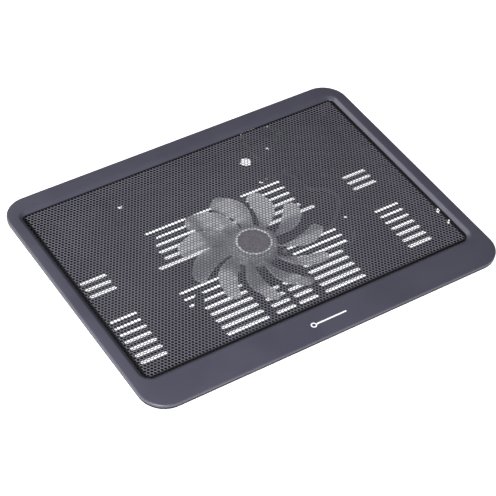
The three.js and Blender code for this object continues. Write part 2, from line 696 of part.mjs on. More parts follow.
function boardCover() {
  const { left, right, front, back, bottom, wall } = COVER;
  const outer = softSlab(roundedRect(left, right, front, back, 2), bottom - 2, BAY_TOP, 0.6);
  const inner = slab(
    roundedRect(left + wall, right - wall, front + wall, back - wall, 0.8),
    bottom - 3,
    BAY_TOP - wall,
  );
  const below = block(left - 1, right + 1, front - 1, back + 1, bottom - 4, bottom);
  const gate = LEAD_GATE;
  const leadGate = block(gate.from, gate.to, front - 1, front + wall + 1, bottom - 1, gate.top);
  const boardGate = block(left + wall, right - wall, back - wall - 1, back + 1, 0, BOARD.top + 0.4);
  let cover = solid(outer).subtract(solid(below)).subtract(solid(inner));
  cover = cover.subtract(solid(leadGate)).subtract(solid(boardGate));
  const lampHole = cylinder(1.8, 10, BAY_TOP + 1, LAMP.x, LAMP.y, 12);
  return geometryOf(cover.subtract(solid(lampHole)));
}

// T-shaped board: a tongue under the cover and a wide strip along the rear wall
function powerBoard() {
  const { left, tongue, right, front, step, back } = BOARD_EDGE;
  const outline = new THREE.Shape();
  outline.moveTo(left, front);
  outline.lineTo(tongue, front);
  outline.lineTo(tongue, step);
  outline.lineTo(right, step);
  outline.lineTo(right, back);
  outline.lineTo(left, back);
  let board = solid(slab(outline, BOARD.bottom, BOARD.top));
  for (const [x, y] of BOARD_SCREWS) {
    board = board.subtract(solid(cylinder(PILOT_RADIUS, BOARD.bottom - 1, BOARD.top + 1, x, y, 10)));
  }
  return geometryOf(board);
}

function socketShell() {
  const { left, right, bottom, top, back, mouth, sheet } = SOCKET;
  const box = block(left, right, back, mouth, bottom, top);
  const room = block(left + sheet, right - sheet, back + sheet, mouth + 1, bottom + sheet, top - sheet);
  return geometryOf(solid(box).subtract(solid(room)));
}

function socketTongue() {
  const { left, right, bottom, top, back, mouth } = SOCKET;
  const heel = block(left + 0.7, right - 0.7, back + 0.7, back + 5.5, bottom + 0.7, top - 0.7);
  const tongue = block(left + 1.5, right - 1.5, back + 5, mouth - 1, top - 3, top - 1.4);
  return geometryOf(solid(heel).add(solid(tongue)));
}

function switchBody() {
  const { x, width, front, back, bottom, top, travel } = SWITCH;
  const box = block(x - width / 2, x + width / 2, front, back, bottom, top);
  const half = KNOB.width / 2 + travel / 2 + RUNNING_GAP;
  const tall = KNOB.height / 2 + RUNNING_GAP;
  const slot = block(x - half, x + half, back - 4, back + 1, KNOB_Z - tall, KNOB_Z + tall);
  return geometryOf(solid(box).subtract(solid(slot)));
}

function switchKnob() {
  const x = SWITCH.x - SWITCH.travel / 2;
  const half = KNOB.width / 2;
  const low = KNOB_Z - KNOB.height / 2;
  const stem = block(x - half, x + half, SWITCH.back - 3.7, KNOB.reach - 0.4, low, low + KNOB.height);
  const top = block(
    x - half + 0.3,
    x + half - 0.3,
    KNOB.reach - 1,
    KNOB.reach,
    low + 0.3,
    low + KNOB.height - 0.3,
  );
  return geometryOf(solid(stem).add(solid(top)));
}

// One lead of the pair, beside the route's centre line
function lead(side) {
  const points = LEAD_ROUTE.map(([x, y, z], i) => {
    const before = LEAD_ROUTE[Math.max(i - 1, 0)];
    const after = LEAD_ROUTE[Math.min(i + 1, LEAD_ROUTE.length - 1)];
    const along = new THREE.Vector2(after[0] - before[0], after[1] - before[1]).normalize();
    const shift = side * LEAD_SPREAD;
    return new THREE.Vector3(x - along.y * shift, y + along.x * shift, z);
  });
  const section = new THREE.Shape();
  section.absarc(0, 0, LEAD_RADIUS, 0, 2 * Math.PI);
  const path = new THREE.CatmullRomCurve3(points);
  const settings = { steps: 42, bevelEnabled: false, curveSegments: 3, extrudePath: path };
  return new THREE.ExtrudeGeometry(section, settings);
}

function electronics() {
  piece("board_cover", "belly", boardCover());
  piece("power_board", "board", powerBoard());
  BOARD_SCREWS.forEach(([x, y], i) => {
    const screw = roundHeadScrew(x, y, BOARD.top + 0.05, 0.8, 3.2, 1.7, 0.9);
    piece("board_screw_" + (i + 1), "steel", screw);
  });
  piece("usb_socket_shell", "steel", socketShell());
  piece("usb_socket_tongue", "nylon", socketTongue());
  piece("switch_body", "black", switchBody());
  piece("switch_knob", "nylon", switchKnob());
  for (const [name, box, gap] of [["lead_header", HEADER, 0.1], ["lead_plug", PLUG, 0.3]]) {
    const shape = block(box.left, box.right, box.front, box.back, BOARD.top + gap, box.top);
    piece(name, "nylon", shape);
  }
  const lamp = [[0, BOARD.top + 0.1], [1.5, BOARD.top + 0.1], [1.5, 14.4], [1.1, 15.2], [0, 15.6]];
  piece("power_lamp", "nylon", turned(lamp, 12, LAMP.x, LAMP.y));
  piece("fan_lead_red", "red", lead(1));
  piece("fan_lead_black", "black", lead(-1));
}

casing();
fan();
legs();
electronics();

export default group;
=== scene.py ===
"""Laptop cooling pad: the looks of the moulded bezel and belly, the perforated screen, the frosted fan,
the folding legs and the power board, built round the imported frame.

Shapes are drawn in millimetres, in the frame's own place, and turned to metres as each piece is finished.
"""

import json
import math

import bmesh
import bpy
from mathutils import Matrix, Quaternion, Vector


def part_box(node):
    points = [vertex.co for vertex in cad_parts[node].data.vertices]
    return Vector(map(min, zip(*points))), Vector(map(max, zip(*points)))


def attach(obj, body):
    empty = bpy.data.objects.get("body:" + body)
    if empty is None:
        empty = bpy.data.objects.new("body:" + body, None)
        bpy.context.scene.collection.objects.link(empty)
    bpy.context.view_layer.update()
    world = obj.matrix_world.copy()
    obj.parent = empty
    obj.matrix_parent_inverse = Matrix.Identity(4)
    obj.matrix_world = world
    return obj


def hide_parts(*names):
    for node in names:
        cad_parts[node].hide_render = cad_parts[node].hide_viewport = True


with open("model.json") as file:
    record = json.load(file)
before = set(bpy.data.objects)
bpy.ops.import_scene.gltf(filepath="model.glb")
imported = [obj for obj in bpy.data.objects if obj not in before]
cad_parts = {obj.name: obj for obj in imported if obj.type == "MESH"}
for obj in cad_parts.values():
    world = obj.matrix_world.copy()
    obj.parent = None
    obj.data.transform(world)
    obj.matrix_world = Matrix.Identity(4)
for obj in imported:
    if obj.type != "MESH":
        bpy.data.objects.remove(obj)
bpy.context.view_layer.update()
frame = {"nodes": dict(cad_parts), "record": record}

MM = 0.001


def corners_of(node):
    """Lowest and highest corner of a frame node, in millimetres."""
    low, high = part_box(node)
    return low / MM, high / MM


# ---- Sizes

_, FRAME_HIGH = corners_of("top_frame")
SHELL_LOW, SHELL_HIGH = corners_of("bottom_shell")
SCREEN_LOW, SCREEN_HIGH = corners_of("mesh_screen")
HUB_LOW, HUB_HIGH = corners_of("hub_disc")

TOP = FRAME_HIGH.z
HALF_WIDTH = FRAME_HIGH.x
HALF_DEPTH = FRAME_HIGH.y
CORNER = 22
PLATE = 2  # thickness of the bezel
RIM_ROUND = 1.3  # rounding of the bezel's outer edge
CORNER_STEPS = 10
LEVEL_GAP = 0.02  # least difference in height of two neighbouring outlines
LEAST_CORNER = 0.05  # least radius of a corner that is rounded at all
HARD_EDGE = 30  # degrees between two faces from which their edge is softened

BEVEL_WIDTH = 3.1
BEVEL_DROP = 2.4
BEVEL_ROUND = 0.9  # rounding between the bezel's top and its bevel
LIP_BOTTOM = 21.3
LIP_WALL = 2.4
SCREEN_REACH = 1.9  # how far the screen runs under the lip
SCREEN_SHEET = 0.4  # thickness of the sheet between its painted faces
SCREEN_TUCK = 1.4  # how much further its plain edge is tucked in
SCREEN_SHADOW_WIDTH = 3  # width of the painted shadow along the bevel's foot
BACK_SHADOW_HIDDEN = 1.6  # how much of that painted shadow the lip covers at the back
OPENING_X = SCREEN_HIGH.x - SCREEN_REACH + BEVEL_WIDTH
OPENING_FRONT = SCREEN_LOW.y + SCREEN_REACH - BEVEL_WIDTH
OPENING_BACK = SCREEN_HIGH.y - SCREEN_REACH + BEVEL_WIDTH
OPENING_FRONT_CORNER = 11
OPENING_BACK_CORNER = 8

CELL_PITCH = 3.0  # screen holes along x
ROW_PITCH = 2.5  # screen rows along y
STRIP = 0.24  # half of the strip between two holes
HALF_COLUMNS = math.ceil((SCREEN_HIGH.x + SCREEN_TUCK) / CELL_PITCH) + 1

FLOOR_BOTTOM = SHELL_LOW.z
WALL = 2
FLOOR_TOP = FLOOR_BOTTOM + WALL
FLANGE_BOTTOM = 19.1
FLANGE_TOP = 20.5
FLANGE_INSET = HALF_WIDTH - SHELL_HIGH.x
UPSTAND_TOP = SHELL_HIGH.z
UPSTAND_WALL = 1.6
BELLY_X = 151
BELLY_FRONT = -106
BELLY_BACK = 113
BELLY_CORNER = 14
BELLY_FLARE = 4.5
BELLY_EDGE = 1.5  # rounding between the floor and the walls, outside
FLOOR_FILLET = 2  # and inside
SOCKET_GAP = 0.4  # gap round the socket and the switch knob in the back wall
SWITCH_TRAVEL = 2

SLOT_WIDTH = 4
SLOT_PITCH = 7.93
BACK_ROW = 17.1
FRONT_ROW = -14.5
SLOT_CHAMFER = 0.25
# Each block of slots on one side: where it runs along x, its rows behind and in front of the middle band
SLOT_BLOCKS = [
    (115, 139.3, range(0, 3), range(0, 7)),
    (1.5, 19.9, range(2, 6), range(4, 8)),
    (26.7, 66.5, range(1, 6), range(3, 8)),
    (26.7, 76.2, range(0, 1), range(0, 3)),
]

BAY_TOP = 15.3
BAY_WALL = 1.8
LEG_BAY = (87.4, 130, 46.6, 95.1)  # right-hand bay: x from, x to, y from, y to
TRAY = (-77.6, 56.3, 66, 95.1)
GROOVE = (-68, 43.7, 79.6, 87.4)
GROOVE_DEPTH = 4
# Openings at the back of the tray, where a stowed lead leaves it, and their tops
LEAD_NOTCHES = [((-72, -58, 92.3, 99), 6), ((50, 59.6, 84, 97.5), 10.8)]
TAB_HALF = 4.5
TAB_REACH = 8
FRONT_TABS = (-50, 25)
BACK_TABS = (-16, 16)
POSTS = [(-71.5, -37.5), (-71.5, 36.6), (79, -39), (73.5, 38)]
POST_RADIUS = 4
BOSS_RADIUS = 2.4
SCOOP_X = 106.5
SCOOP_Y = LEG_BAY[2] + 1
SCOOP_RADIUS = 8
SCOOP_HEIGHT = 6.5
SCOOP_SKIN = 1.6
# Through holes: x, y, radius
ROUND_HOLES = [
    (46.6, 80.6, 5.5),
    (-73.2, 84.4, 2.8),
    (90.3, -7.1, 1.9),
    (52, 63.2, 2.1),
    (58.3, 64.6, 1.5),
    (58.2, 71, 1.4),
]
PILOT_RADIUS = 1.1
VENT_HEIGHTS = (13, 18.4)
VENT_SPANS = [(-52, -47), (-66, -62.5)]

BOARD_SCREWS = [(66, 78), (95.6, 105)]
FAN_Y = (HUB_LOW.y + HUB_HIGH.y) / 2
BLADES = 11
FIRST_BLADE = 1.5  # degrees from the x axis
BLADE_ROOT = 18.6
BLADE_TIP = 62
BLADE_LOW = 7.4
BLADE_HIGH = 15.2
BLADE_THICKNESS = 1.2
BLADE_SWEEP = 22  # degrees that the tip leads the root
BLADE_ARC = 24  # degrees that a blade covers at its widest
BLADE_TIP_ROUND = 5  # how far the corners of the tip are drawn in
BLADE_RIM = 0.42
HUB_RADIUS = 19.5
HUB_BOTTOM = 6.8
HUB_TOP = HUB_LOW.z
HUB_WALL = 1.5
HUB_BRIM = 1.4  # rounding of the hub's upper rim
BAND_WIDTH = 1.5  # width of the silver ring on the hub
FAN_STEPS = 72  # flats round the hub and its trim

HEAD_HEIGHT = 1.1  # casing screws
SHANK_RADIUS = 1.2
RECESS_REACH = 1.15
RECESS_HALF = 0.3
RECESS_DEPTH = 0.75

EMBLEM_RING = (-14, 1.5, 2.5)  # middle, inner and outer radius
EMBLEM_BAR = (-11.9, 16.5)
EMBLEM_BAR_HALF = 0.7
EMBLEM_Y = -110.5
EMBLEM_LIFT = 0.03
LAMP_RADIUS = 1.5
LAMP_CROWN = 1.2
LEAD_RADIUS = 0.6
LEAD_SPREAD = 0.9  # how far each lead lies from the middle of the pair
LEAD_ROUTE = [
    (11, -4.9, 4.6),
    (24, -4.9, 4.5),
    (40, -6, 4.4),
    (58, -9, 4.4),
    (74, -10.5, 4.4),
    (84, -2, 4.4),
    (93, 6, 4.4),
    (97.5, 17, 4.4),
    (93, 28, 4.4),
    (84, 33, 4.4),
    (80, 41, 4.4),
    (84, 50, 4.4),
    (77, 55.5, 5),
    (72.6, 60.4, 8.4),
    (72, 64, 9.7),
]

FLOOR_GAP = 0.0005  # metres between the feet and the white floor
CAMERA_PLACE = Vector((-0.58448, -0.80589, 0.99562))
CAMERA_AIM = Vector((-0.01298, -0.01511, 0.024))
CAMERA_ROLL = math.radians(4.504)
CAMERA_LENS = 125.09


# ---- Modelling helpers


def rectangle(shape, box, z, front=0.0, back=None, steps=CORNER_STEPS):
    """A flat face over box (x0, x1, y0, y1) at height z, with rounded front and back corners."""
    x0, x1, y0, y1 = box
    back = front if back is None else back
    before = set(shape.faces)
    made = bmesh.ops.create_grid(shape, x_segments=1, y_segments=1, size=0.5)["verts"]
    bmesh.ops.scale(shape, vec=(x1 - x0, y1 - y0, 1), verts=made)
    bmesh.ops.translate(shape, vec=((x0 + x1) / 2, (y0 + y1) / 2, z), verts=made)
    middle = (y0 + y1) / 2
    front_pair = [v for v in made if v.co.y < middle]
    back_pair = [v for v in made if v.co.y > middle]
    for pair, radius in ((front_pair, front), (back_pair, back)):
        if radius > 0:
            bmesh.ops.bevel(
                shape,
                geom=pair,
                offset=radius,
                offset_type="OFFSET",
                segments=steps,
                profile=0.5,
                affect="VERTICES",
                material=-1,
            )
    return next(f for f in shape.faces if f not in before)


def ring(shape, *place, **settings):
    """The same outline as a ring of edges, without its face."""
    face = rectangle(shape, *place, **settings)
    edges = list(face.edges)
    bmesh.ops.delete(shape, geom=[face], context="FACES_ONLY")
    return edges


def quarter_turn(steps):
    """Pairs of cosine and sine along a quarter turn, in equal steps."""
    turns = [math.radians(90 * i / steps) for i in range(steps + 1)]
    return [(math.cos(turn), math.sin(turn)) for turn in turns]


def lofted(shape, rings, closed=False, capped=False):
    """Joins neighbouring rings of edges with faces; closed joins the last to the first.
    Neighbouring rings are never quite level, because level rings can be joined with a twist."""
    ends = rings[1:] + rings[:1] if closed else rings[1:]
    for one, other in zip(rings, ends):
        bmesh.ops.bridge_loops(shape, edges=one + other)
    if capped:
        for end in (rings[0], rings[-1]):
            bmesh.ops.edgeloop_fill(shape, edges=end)
    return shape


def shrunk(box, wall):
    """The box (x0, x1, y0, y1) drawn in by a wall on every side."""
    x0, x1, y0, y1 = box
    return (x0 + wall, x1 - wall, y0 + wall, y1 - wall)


def prism(shape, box, z0, z1, radius=0.0, soft=0.0, steps=4):
    """A closed upright block with rounded corners, and its upper rim rounded over a height of soft."""
    levels = [(0, z0)]
    if soft > 0:
        levels += [(soft * (1 - across), z1 - soft + soft * up) for across, up in quarter_turn(3)]
    else:
        levels.append((0, z1))
    rings = []
    for inset, z in levels:
        corner = max(radius - inset, LEAST_CORNER) if radius > 0 else 0
        rings.append(ring(shape, shrunk(box, inset), z, front=corner, steps=steps))
    return lofted(shape, rings, capped=True)


def turned(shape, profile, x=0.0, y=0.0, steps=32):
    """A profile of (radius, height) points turned about the upright through x, y."""
    chain = [shape.verts.new((x + radius, y, z)) for radius, z in profile]
    edges = [shape.edges.new(pair) for pair in zip(chain, chain[1:])]
    bmesh.ops.spin(
        shape,
        geom=chain + edges,
        cent=(x, y, 0),
        axis=(0, 0, 1),
        angle=math.tau,
        steps=steps,
        use_merge=True,
    )
    bmesh.ops.remove_doubles(shape, verts=shape.verts, dist=1e-4)
    return shape


def outward(shape):
    """Merges doubles and turns every face outwards."""
    bmesh.ops.remove_doubles(shape, verts=shape.verts, dist=1e-4)
    bmesh.ops.recalc_face_normals(shape, faces=shape.faces)
    return shape


def loose_object(shape, name="cutter"):
    """A plain object that holds a shape, in the shape's own millimetres."""
    mesh = bpy.data.meshes.new(name)
    shape.to_mesh(mesh)
    shape.free()
    made = bpy.data.objects.new(name, mesh)
    bpy.context.scene.collection.objects.link(made)
    return made


def combined(body, tool, operation):
    """The body with a second closed shape joined to it (UNION) or cut from it (DIFFERENCE)."""
    body_object, tool_object = loose_object(outward(body)), loose_object(outward(tool))
    cut = body_object.modifiers.new("combine", "BOOLEAN")
    cut.operation = operation
    cut.solver = "MANIFOLD"
    cut.object = tool_object
    bpy.context.view_layer.update()
    graph = bpy.context.evaluated_depsgraph_get()
    result = bpy.data.meshes.new_from_object(body_object.evaluated_get(graph))
    shape = bmesh.new()
    shape.from_mesh(result)
    for used in (body_object, tool_object):
        bpy.data.objects.remove(used)
    bpy.data.meshes.remove(result)
    return shape


def piece(name, shape, body, node, finish, sharp=32):
    """Finishes a shape as a named piece that rides on a body and stands for its frame node."""
    bmesh.ops.scale(shape, vec=(MM, MM, MM), verts=shape.verts)
    limit = math.radians(sharp)
    for face in shape.faces:
        face.smooth = True
        face.material_index = 0
    for edge in shape.edges:
        edge.smooth = edge.calc_face_angle(0) < limit
    made = loose_object(shape, name)
    made.data.materials.append(finish)
    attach(made, body)
    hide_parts(node)


def softened(node, width):
    """A merged copy of a frame node with its hard edges rounded."""
    shape = bmesh.new()
    shape.from_mesh(frame["nodes"][node].data)
    bmesh.ops.scale(shape, vec=(1 / MM, 1 / MM, 1 / MM), verts=shape.verts)
    bmesh.ops.remove_doubles(shape, verts=shape.verts, dist=1e-3)
    bmesh.ops.dissolve_limit(
        shape,
        angle_limit=math.radians(2),
        verts=shape.verts,
        edges=shape.edges,
    )
    hard = [e for e in shape.edges if e.calc_face_angle(0) > math.radians(HARD_EDGE)]
    bmesh.ops.bevel(
        shape,
        geom=hard,
        offset=width,
        offset_type="OFFSET",
        segments=2,
        profile=0.5,
        affect="EDGES",
        clamp_overlap=True,
        material=-1,
    )
    return shape


# ---- Shader helpers


class Value:
    """A shader socket that carries a number; arithmetic on it adds Math nodes."""

    def __init__(self, finish, socket):
        self.finish = finish
        self.socket = socket

    def math(self, operation, *others, first=None):
        inputs = [self if first is None else first, *others]
        if first is not None:
            inputs.append(self)
        node = self.finish.node(
            "ShaderNodeMath", {"operation": operation}, dict(enumerate(inputs))
        )
        return Value(self.finish, node.outputs[0])

    def __add__(self, other):
        return self.math("ADD", other)

    def __radd__(self, other):
        return self.math("ADD", other)

    def __sub__(self, other):
        return self.math("SUBTRACT", other)

    def __rsub__(self, other):
        return self.math("SUBTRACT", first=other)

    def __mul__(self, other):
        return self.math("MULTIPLY", other)

    def __rmul__(self, other):
        return self.math("MULTIPLY", other)

    def __truediv__(self, other):
        return self.math("DIVIDE", other)

    def between(self, low, high):
        """0 below low, 1 above high and a smooth step in between."""
        node = self.finish.node(
            "ShaderNodeMapRange",
            {"interpolation_type": "SMOOTHSTEP", "clamp": True},
            {"Value": self, "From Min": low, "From Max": high},
        )
        return Value(self.finish, node.outputs["Result"])


class Finish:
    """A material round one Principled shader; constants are set on the shader's own sockets."""

    def __init__(self, name, **constants):
        self.material = bpy.data.materials.new(name)
        self.material.use_nodes = True
        self.tree = self.material.node_tree
        self.shader = self.tree.nodes["Principled BSDF"]
        for socket, value in constants.items():
            self.shader.inputs[socket.replace("_", " ")].default_value = value
        self.place = self.node("ShaderNodeTexCoord").outputs["Object"]

    def node(self, kind, settings=None, inputs=None):
        """A node of that kind: its settings first, then the values or links of its sockets."""
        made = self.tree.nodes.new(kind)
        for key, value in (settings or {}).items():
            setattr(made, key, value)
        for key, value in (inputs or {}).items():
            if isinstance(value, Value):
                self.tree.links.new(value.socket, made.inputs[key])
            elif isinstance(value, bpy.types.NodeSocket):
                self.tree.links.new(value, made.inputs[key])
            else:
                made.inputs[key].default_value = value
        return made

    def axes(self):
        """The object's own x, y and z in metres."""
        split = self.node("ShaderNodeSeparateXYZ", None, {0: self.place})
        return [Value(self, split.outputs[i]) for i in range(3)]

    def noise(self, scale, detail=3.0, roughness=0.5, place=None):
        made = self.node(
            "ShaderNodeTexNoise",
            None,
            {
                "Vector": place or self.place,
                "Scale": scale,
                "Detail": detail,
                "Roughness": roughness,
            },
        )
        return Value(self, made.outputs["Fac"])

    def cells(self, scale):
        made = self.node(
            "ShaderNodeTexVoronoi",
            None,
            {"Vector": self.place, "Scale": scale},
        )
        return Value(self, made.outputs["Distance"])

    def stretched(self, x, y, z):
        """The place with each axis scaled, so that a pattern runs long across the small ones."""
        made = self.node(
            "ShaderNodeMapping", None, {"Vector": self.place, "Scale": (x, y, z)}
        )
        return made.outputs["Vector"]

    def mixed(self, share, one, other):
        """A colour between two others, each a tuple or a socket."""
        colours = {
            index: (*colour, 1) if isinstance(colour, tuple) else colour
            for index, colour in ((6, one), (7, other))
        }
        made = self.node(
            "ShaderNodeMix",
            {"data_type": "RGBA", "clamp_factor": True},
            {0: share, **colours},
        )
        return made.outputs[2]

    def from_fan_axis(self):
        """The distance from the upright through the fan's middle, in metres."""
        x, y, _ = self.axes()
        back = y - FAN_Y * MM
        return (x * x + back * back).math("SQRT")

    def feed(self, socket, value):
        source = value.socket if isinstance(value, Value) else value
        self.tree.links.new(source, self.shader.inputs[socket])

    def bump(self, height, distance, strength=1.0):
        """Relief of the given depth in metres."""
        made = self.node(
            "ShaderNodeBump",
            None,
            {"Height": height, "Distance": distance, "Strength": strength},
        )
        self.feed("Normal", made.outputs["Normal"])


# ---- Finishes


def moulded(name, colour, pale, roughness, grain=0.00004, grain_scale=1600, specular=0.5):
    """Moulded plastic: fine spark-eroded grain, soft patches of shade and a little handling dust."""
    made = Finish(name, Specular_IOR_Level=specular)
    grain_height = made.noise(grain_scale, 4, 0.65)
    patches = made.noise(28, 2)
    specks = made.cells(900).between(0.12, 0.02)
    shade = made.mixed(patches.between(0.3, 0.7), colour, pale)
    made.feed("Base Color", made.mixed(specks * 0.25, shade, tuple(c * 1.6 for c in pale)))
    made.feed("Roughness", roughness + (made.noise(60, 3) - 0.5) * 0.12 + grain_height * 0.06)
    made.bump(grain_height, grain)
    return made


def bezel_finish():
    return moulded(
        "bezel_satin_plastic",
        (0.048, 0.046, 0.068),
        (0.056, 0.054, 0.078),
        roughness=0.42,
        grain=0.00003,
        grain_scale=1900,
    )


def belly_finish():
    return moulded(
        "belly_plastic",
        (0.007, 0.007, 0.010),
        (0.012, 0.012, 0.016),
        roughness=0.42,
        grain=0.00002,
        specular=0.2,
    )


def screen_finish():
    """Satin paint on perforated sheet, slightly worn on the strips, with painted shadow along the lip."""
    made = Finish("screen_satin_paint", Metallic=0.1, Specular_IOR_Level=0.4)
    worn = made.noise(700, 4, 0.6).between(0.58, 0.74)
    patches = made.noise(22, 3)
    x, y, _ = made.axes()
    # Near the bevel's foot the paint turns near black and rougher: painted shadow of the bezel's lip,
    # narrower at the back where the lip covers part of it.
    from_side = OPENING_X - BEVEL_WIDTH - x.math("ABSOLUTE") / MM
    from_front = y / MM - (OPENING_FRONT + BEVEL_WIDTH)
    from_back = OPENING_BACK - BEVEL_WIDTH + BACK_SHADOW_HIDDEN - y / MM
    nearest = from_side.math("MINIMUM", from_front).math("MINIMUM", from_back)
    painted_shadow = nearest.between(SCREEN_SHADOW_WIDTH + 0.6, SCREEN_SHADOW_WIDTH - 0.6)
    paint = made.mixed(patches, (0.115, 0.112, 0.138), (0.165, 0.160, 0.194))
    face = made.mixed(worn * 0.5, paint, (0.28, 0.28, 0.32))
    made.feed("Base Color", made.mixed(painted_shadow, face, (0.006, 0.006, 0.008)))
    made.feed("Roughness", 0.36 + made.noise(300, 2) * 0.14 - worn * 0.08 + painted_shadow * 0.3)
    made.bump(made.noise(2600, 3), 0.00002)
    return made


def frosted_finish():
    """Milky translucent moulding with faint flow lines round the hub."""
    made = Finish("frosted_plastic", Transmission_Weight=0.9, IOR=1.4)
    rings = (made.from_fan_axis() * 5200).math("SINE")
    cloud = made.noise(130, 3)
    colour = made.mixed(cloud, (0.90, 0.91, 0.93), (0.97, 0.97, 0.98))
    made.feed("Base Color", colour)
    made.feed("Roughness", 0.46 + cloud * 0.16)
    made.bump(made.noise(1500, 3) + rings * 0.15, 0.00003)
    return made


def brushed(name, colour, bright, roughness):
    """Plated or drawn metal: fine scratches that lie level, and duller patches."""
    made = Finish(name, Metallic=1.0)
    scratches = made.noise(900, 4, 0.6, made.stretched(1, 1, 12))
    dull = made.noise(120, 3).between(0.45, 0.75)
    made.feed("Base Color", made.mixed(scratches, colour, bright))
    made.feed("Roughness", roughness + scratches * 0.12 + dull * 0.12)
    made.bump(scratches, 0.00001)
    return made


def rubber_finish():
    """Matt rubber with a fine pebble and grey bloom."""
    made = Finish("rubber", Specular_IOR_Level=0.35)
    pebble = made.cells(2600)
    bloom = made.noise(180, 4).between(0.45, 0.8)
    made.feed("Base Color", made.mixed(bloom, (0.014, 0.014, 0.015), (0.040, 0.040, 0.042)))
    made.feed("Roughness", 0.78 + bloom * 0.15)
    made.bump(pebble, 0.00006)
    return made


def nylon_finish():
    """Natural nylon: warm white, slightly clouded."""
    made = Finish("natural_nylon", Subsurface_Weight=0.2, Subsurface_Scale=0.001)
    cloud = made.noise(400, 3)
    made.feed("Base Color", made.mixed(cloud, (0.68, 0.66, 0.58), (0.80, 0.78, 0.71)))
    made.feed("Roughness", 0.38 + cloud * 0.18)
    made.bump(made.noise(2200, 2), 0.00001)
    return made


def board_finish():
    """Green solder mask over copper tracks that run square to each other, with a few tinned pads."""
    made = Finish("circuit_board")
    x, y, _ = made.axes()
    across = made.noise(260, 1, 0.5, made.stretched(0.12, 1, 1)).between(0.52, 0.56)
    along = made.noise(260, 1, 0.5, made.stretched(1, 0.12, 1)).between(0.54, 0.58)
    tracks = across.math("MAXIMUM", along)
    pads = made.cells(330).between(0.16, 0.12)
    mask = made.mixed(tracks, (0.010, 0.075, 0.028), (0.022, 0.135, 0.050))
    made.feed("Base Color", made.mixed(pads, mask, (0.55, 0.56, 0.57)))
    made.feed("Metallic", pads)
    made.feed("Roughness", 0.30 + made.noise(800, 2) * 0.15)
    made.bump(tracks + pads, 0.00004)
    return made


def copper_finish():
    """Enamelled wire laid turn beside turn, with painted shade in the grooves between turns and painted
    highlight on their crests.
    """
    made = Finish("winding_copper", Metallic=1.0, Coat_Weight=0.4)
    _, _, z = made.axes()
    turns = (z * 18000).math("SINE") * 0.5 + 0.5
    # Each turn is dark copper in its groove and bright on its crest: painted shade and highlight that follow
    # the wound relief.
    made.feed("Base Color", made.mixed(turns, (0.22, 0.075, 0.025), (0.62, 0.27, 0.10)))
    made.feed("Roughness", 0.24 + made.noise(900, 2) * 0.14)
    made.bump(turns, 0.00008)
    return made


def bronze_finish():
    """Sintered bronze: open pores and an oily shade."""
    made = Finish("sintered_bronze", Metallic=1.0)
    pores = made.cells(2400).between(0.25, 0.05)
    made.feed("Base Color", made.mixed(pores, (0.42, 0.27, 0.11), (0.10, 0.06, 0.03)))
    made.feed("Roughness", 0.34 + pores * 0.3)
    made.bump(1 - pores, 0.00004)
    return made


def magnet_finish():
    """Bonded ferrite: near black, with fine pits."""
    made = Finish("bonded_ferrite")
    pits = made.cells(1800).between(0.3, 0.1)
    made.feed("Base Color", made.mixed(made.noise(500, 4), (0.018, 0.016, 0.016), (0.05, 0.046, 0.044)))
    made.feed("Roughness", 0.6 + pits * 0.2)
    made.bump(1 - pits, 0.00003)
    return made


def print_finish():
    """Silver print: bright flake in a thin clear ink."""
    made = Finish("silver_print", Metallic=0.05)
    flake = made.noise(5200, 2)
    made.feed("Base Color", made.mixed(flake, (0.88, 0.88, 0.90), (0.96, 0.96, 0.97)))
    made.feed("Roughness", 0.30 + flake * 0.2)
    made.bump(flake, 0.00001)
    return made


def label_finish():
    """Plain grey film with a paler border and two empty ruled boxes."""
    made = Finish("label_film")
    low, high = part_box("underside_label")
    middle, half = (low + high) / 2, (high - low) / 2
    x, y, _ = made.axes()
    from_edge = (half.x - (x - middle.x).math("ABSOLUTE")).math(
        "MINIMUM", half.y - (y - middle.y).math("ABSOLUTE")
    )
    border = from_edge.between(0.0013, 0.0011) * from_edge.between(0.0007, 0.0009)
    middle_rule = (x - middle.x).math("ABSOLUTE").between(0.0003, 0.0002)
    rule = border.math("MAXIMUM", middle_rule * from_edge.between(0.0011, 0.0013))
    film = made.mixed(made.noise(60, 2), (0.30, 0.30, 0.32), (0.36, 0.36, 0.38))
    made.feed("Base Color", made.mixed(rule, film, (0.62, 0.62, 0.64)))
    made.feed("Roughness", 0.40 + made.noise(900, 2) * 0.15)
    made.bump(made.noise(1200, 2), 0.00001)
    return made


def lens_finish():
    """Clear lamp lens with a faint internal haze."""
    made = Finish("lamp_lens", Transmission_Weight=0.5, IOR=1.45, Emission_Strength=0.35)
    haze = made.noise(900, 3)
    made.feed("Base Color", made.mixed(haze, (0.82, 0.85, 0.90), (0.95, 0.96, 0.97)))
    made.feed("Emission Color", made.mixed(haze, (0.75, 0.82, 0.95), (0.95, 0.97, 1.0)))
    made.feed("Roughness", 0.15 + haze * 0.15)
    return made


def lead_finish(name, colour, pale):
    """Soft vinyl insulation with a light sheen and faint scuffs."""
    made = Finish(name)
    scuffs = made.noise(700, 4).between(0.5, 0.75)
    made.feed("Base Color", made.mixed(scuffs, colour, pale))
    made.feed("Roughness", 0.34 + scuffs * 0.2)
    made.bump(made.noise(1800, 2), 0.00001)
    return made


def foil_finish():
    """Grey foil disc on the hub: a faint, patchy pink band crossed by fine rings."""
    made = Finish("hub_foil", Coat_Weight=0.5, Coat_Roughness=0.15)
    radius = made.from_fan_axis() / MM
    pink = radius.between(4.2, 5.4) * radius.between(11.2, 9.6)
    lines = (radius * 6).math("SINE").between(0.2, 0.9)
    speckle = made.noise(900, 3)
    patchy = made.noise(420, 3).between(0.4, 0.65)
    foil = made.mixed(pink * (0.25 + lines * 0.3) * patchy, (0.11, 0.105, 0.118), (0.30, 0.17, 0.18))
    made.feed("Base Color", made.mixed(speckle.between(0.5, 0.75), foil, (0.34, 0.33, 0.35)))
    made.feed("Roughness", 0.28 + speckle * 0.2)
    made.bump(lines, 0.00003)
    return made


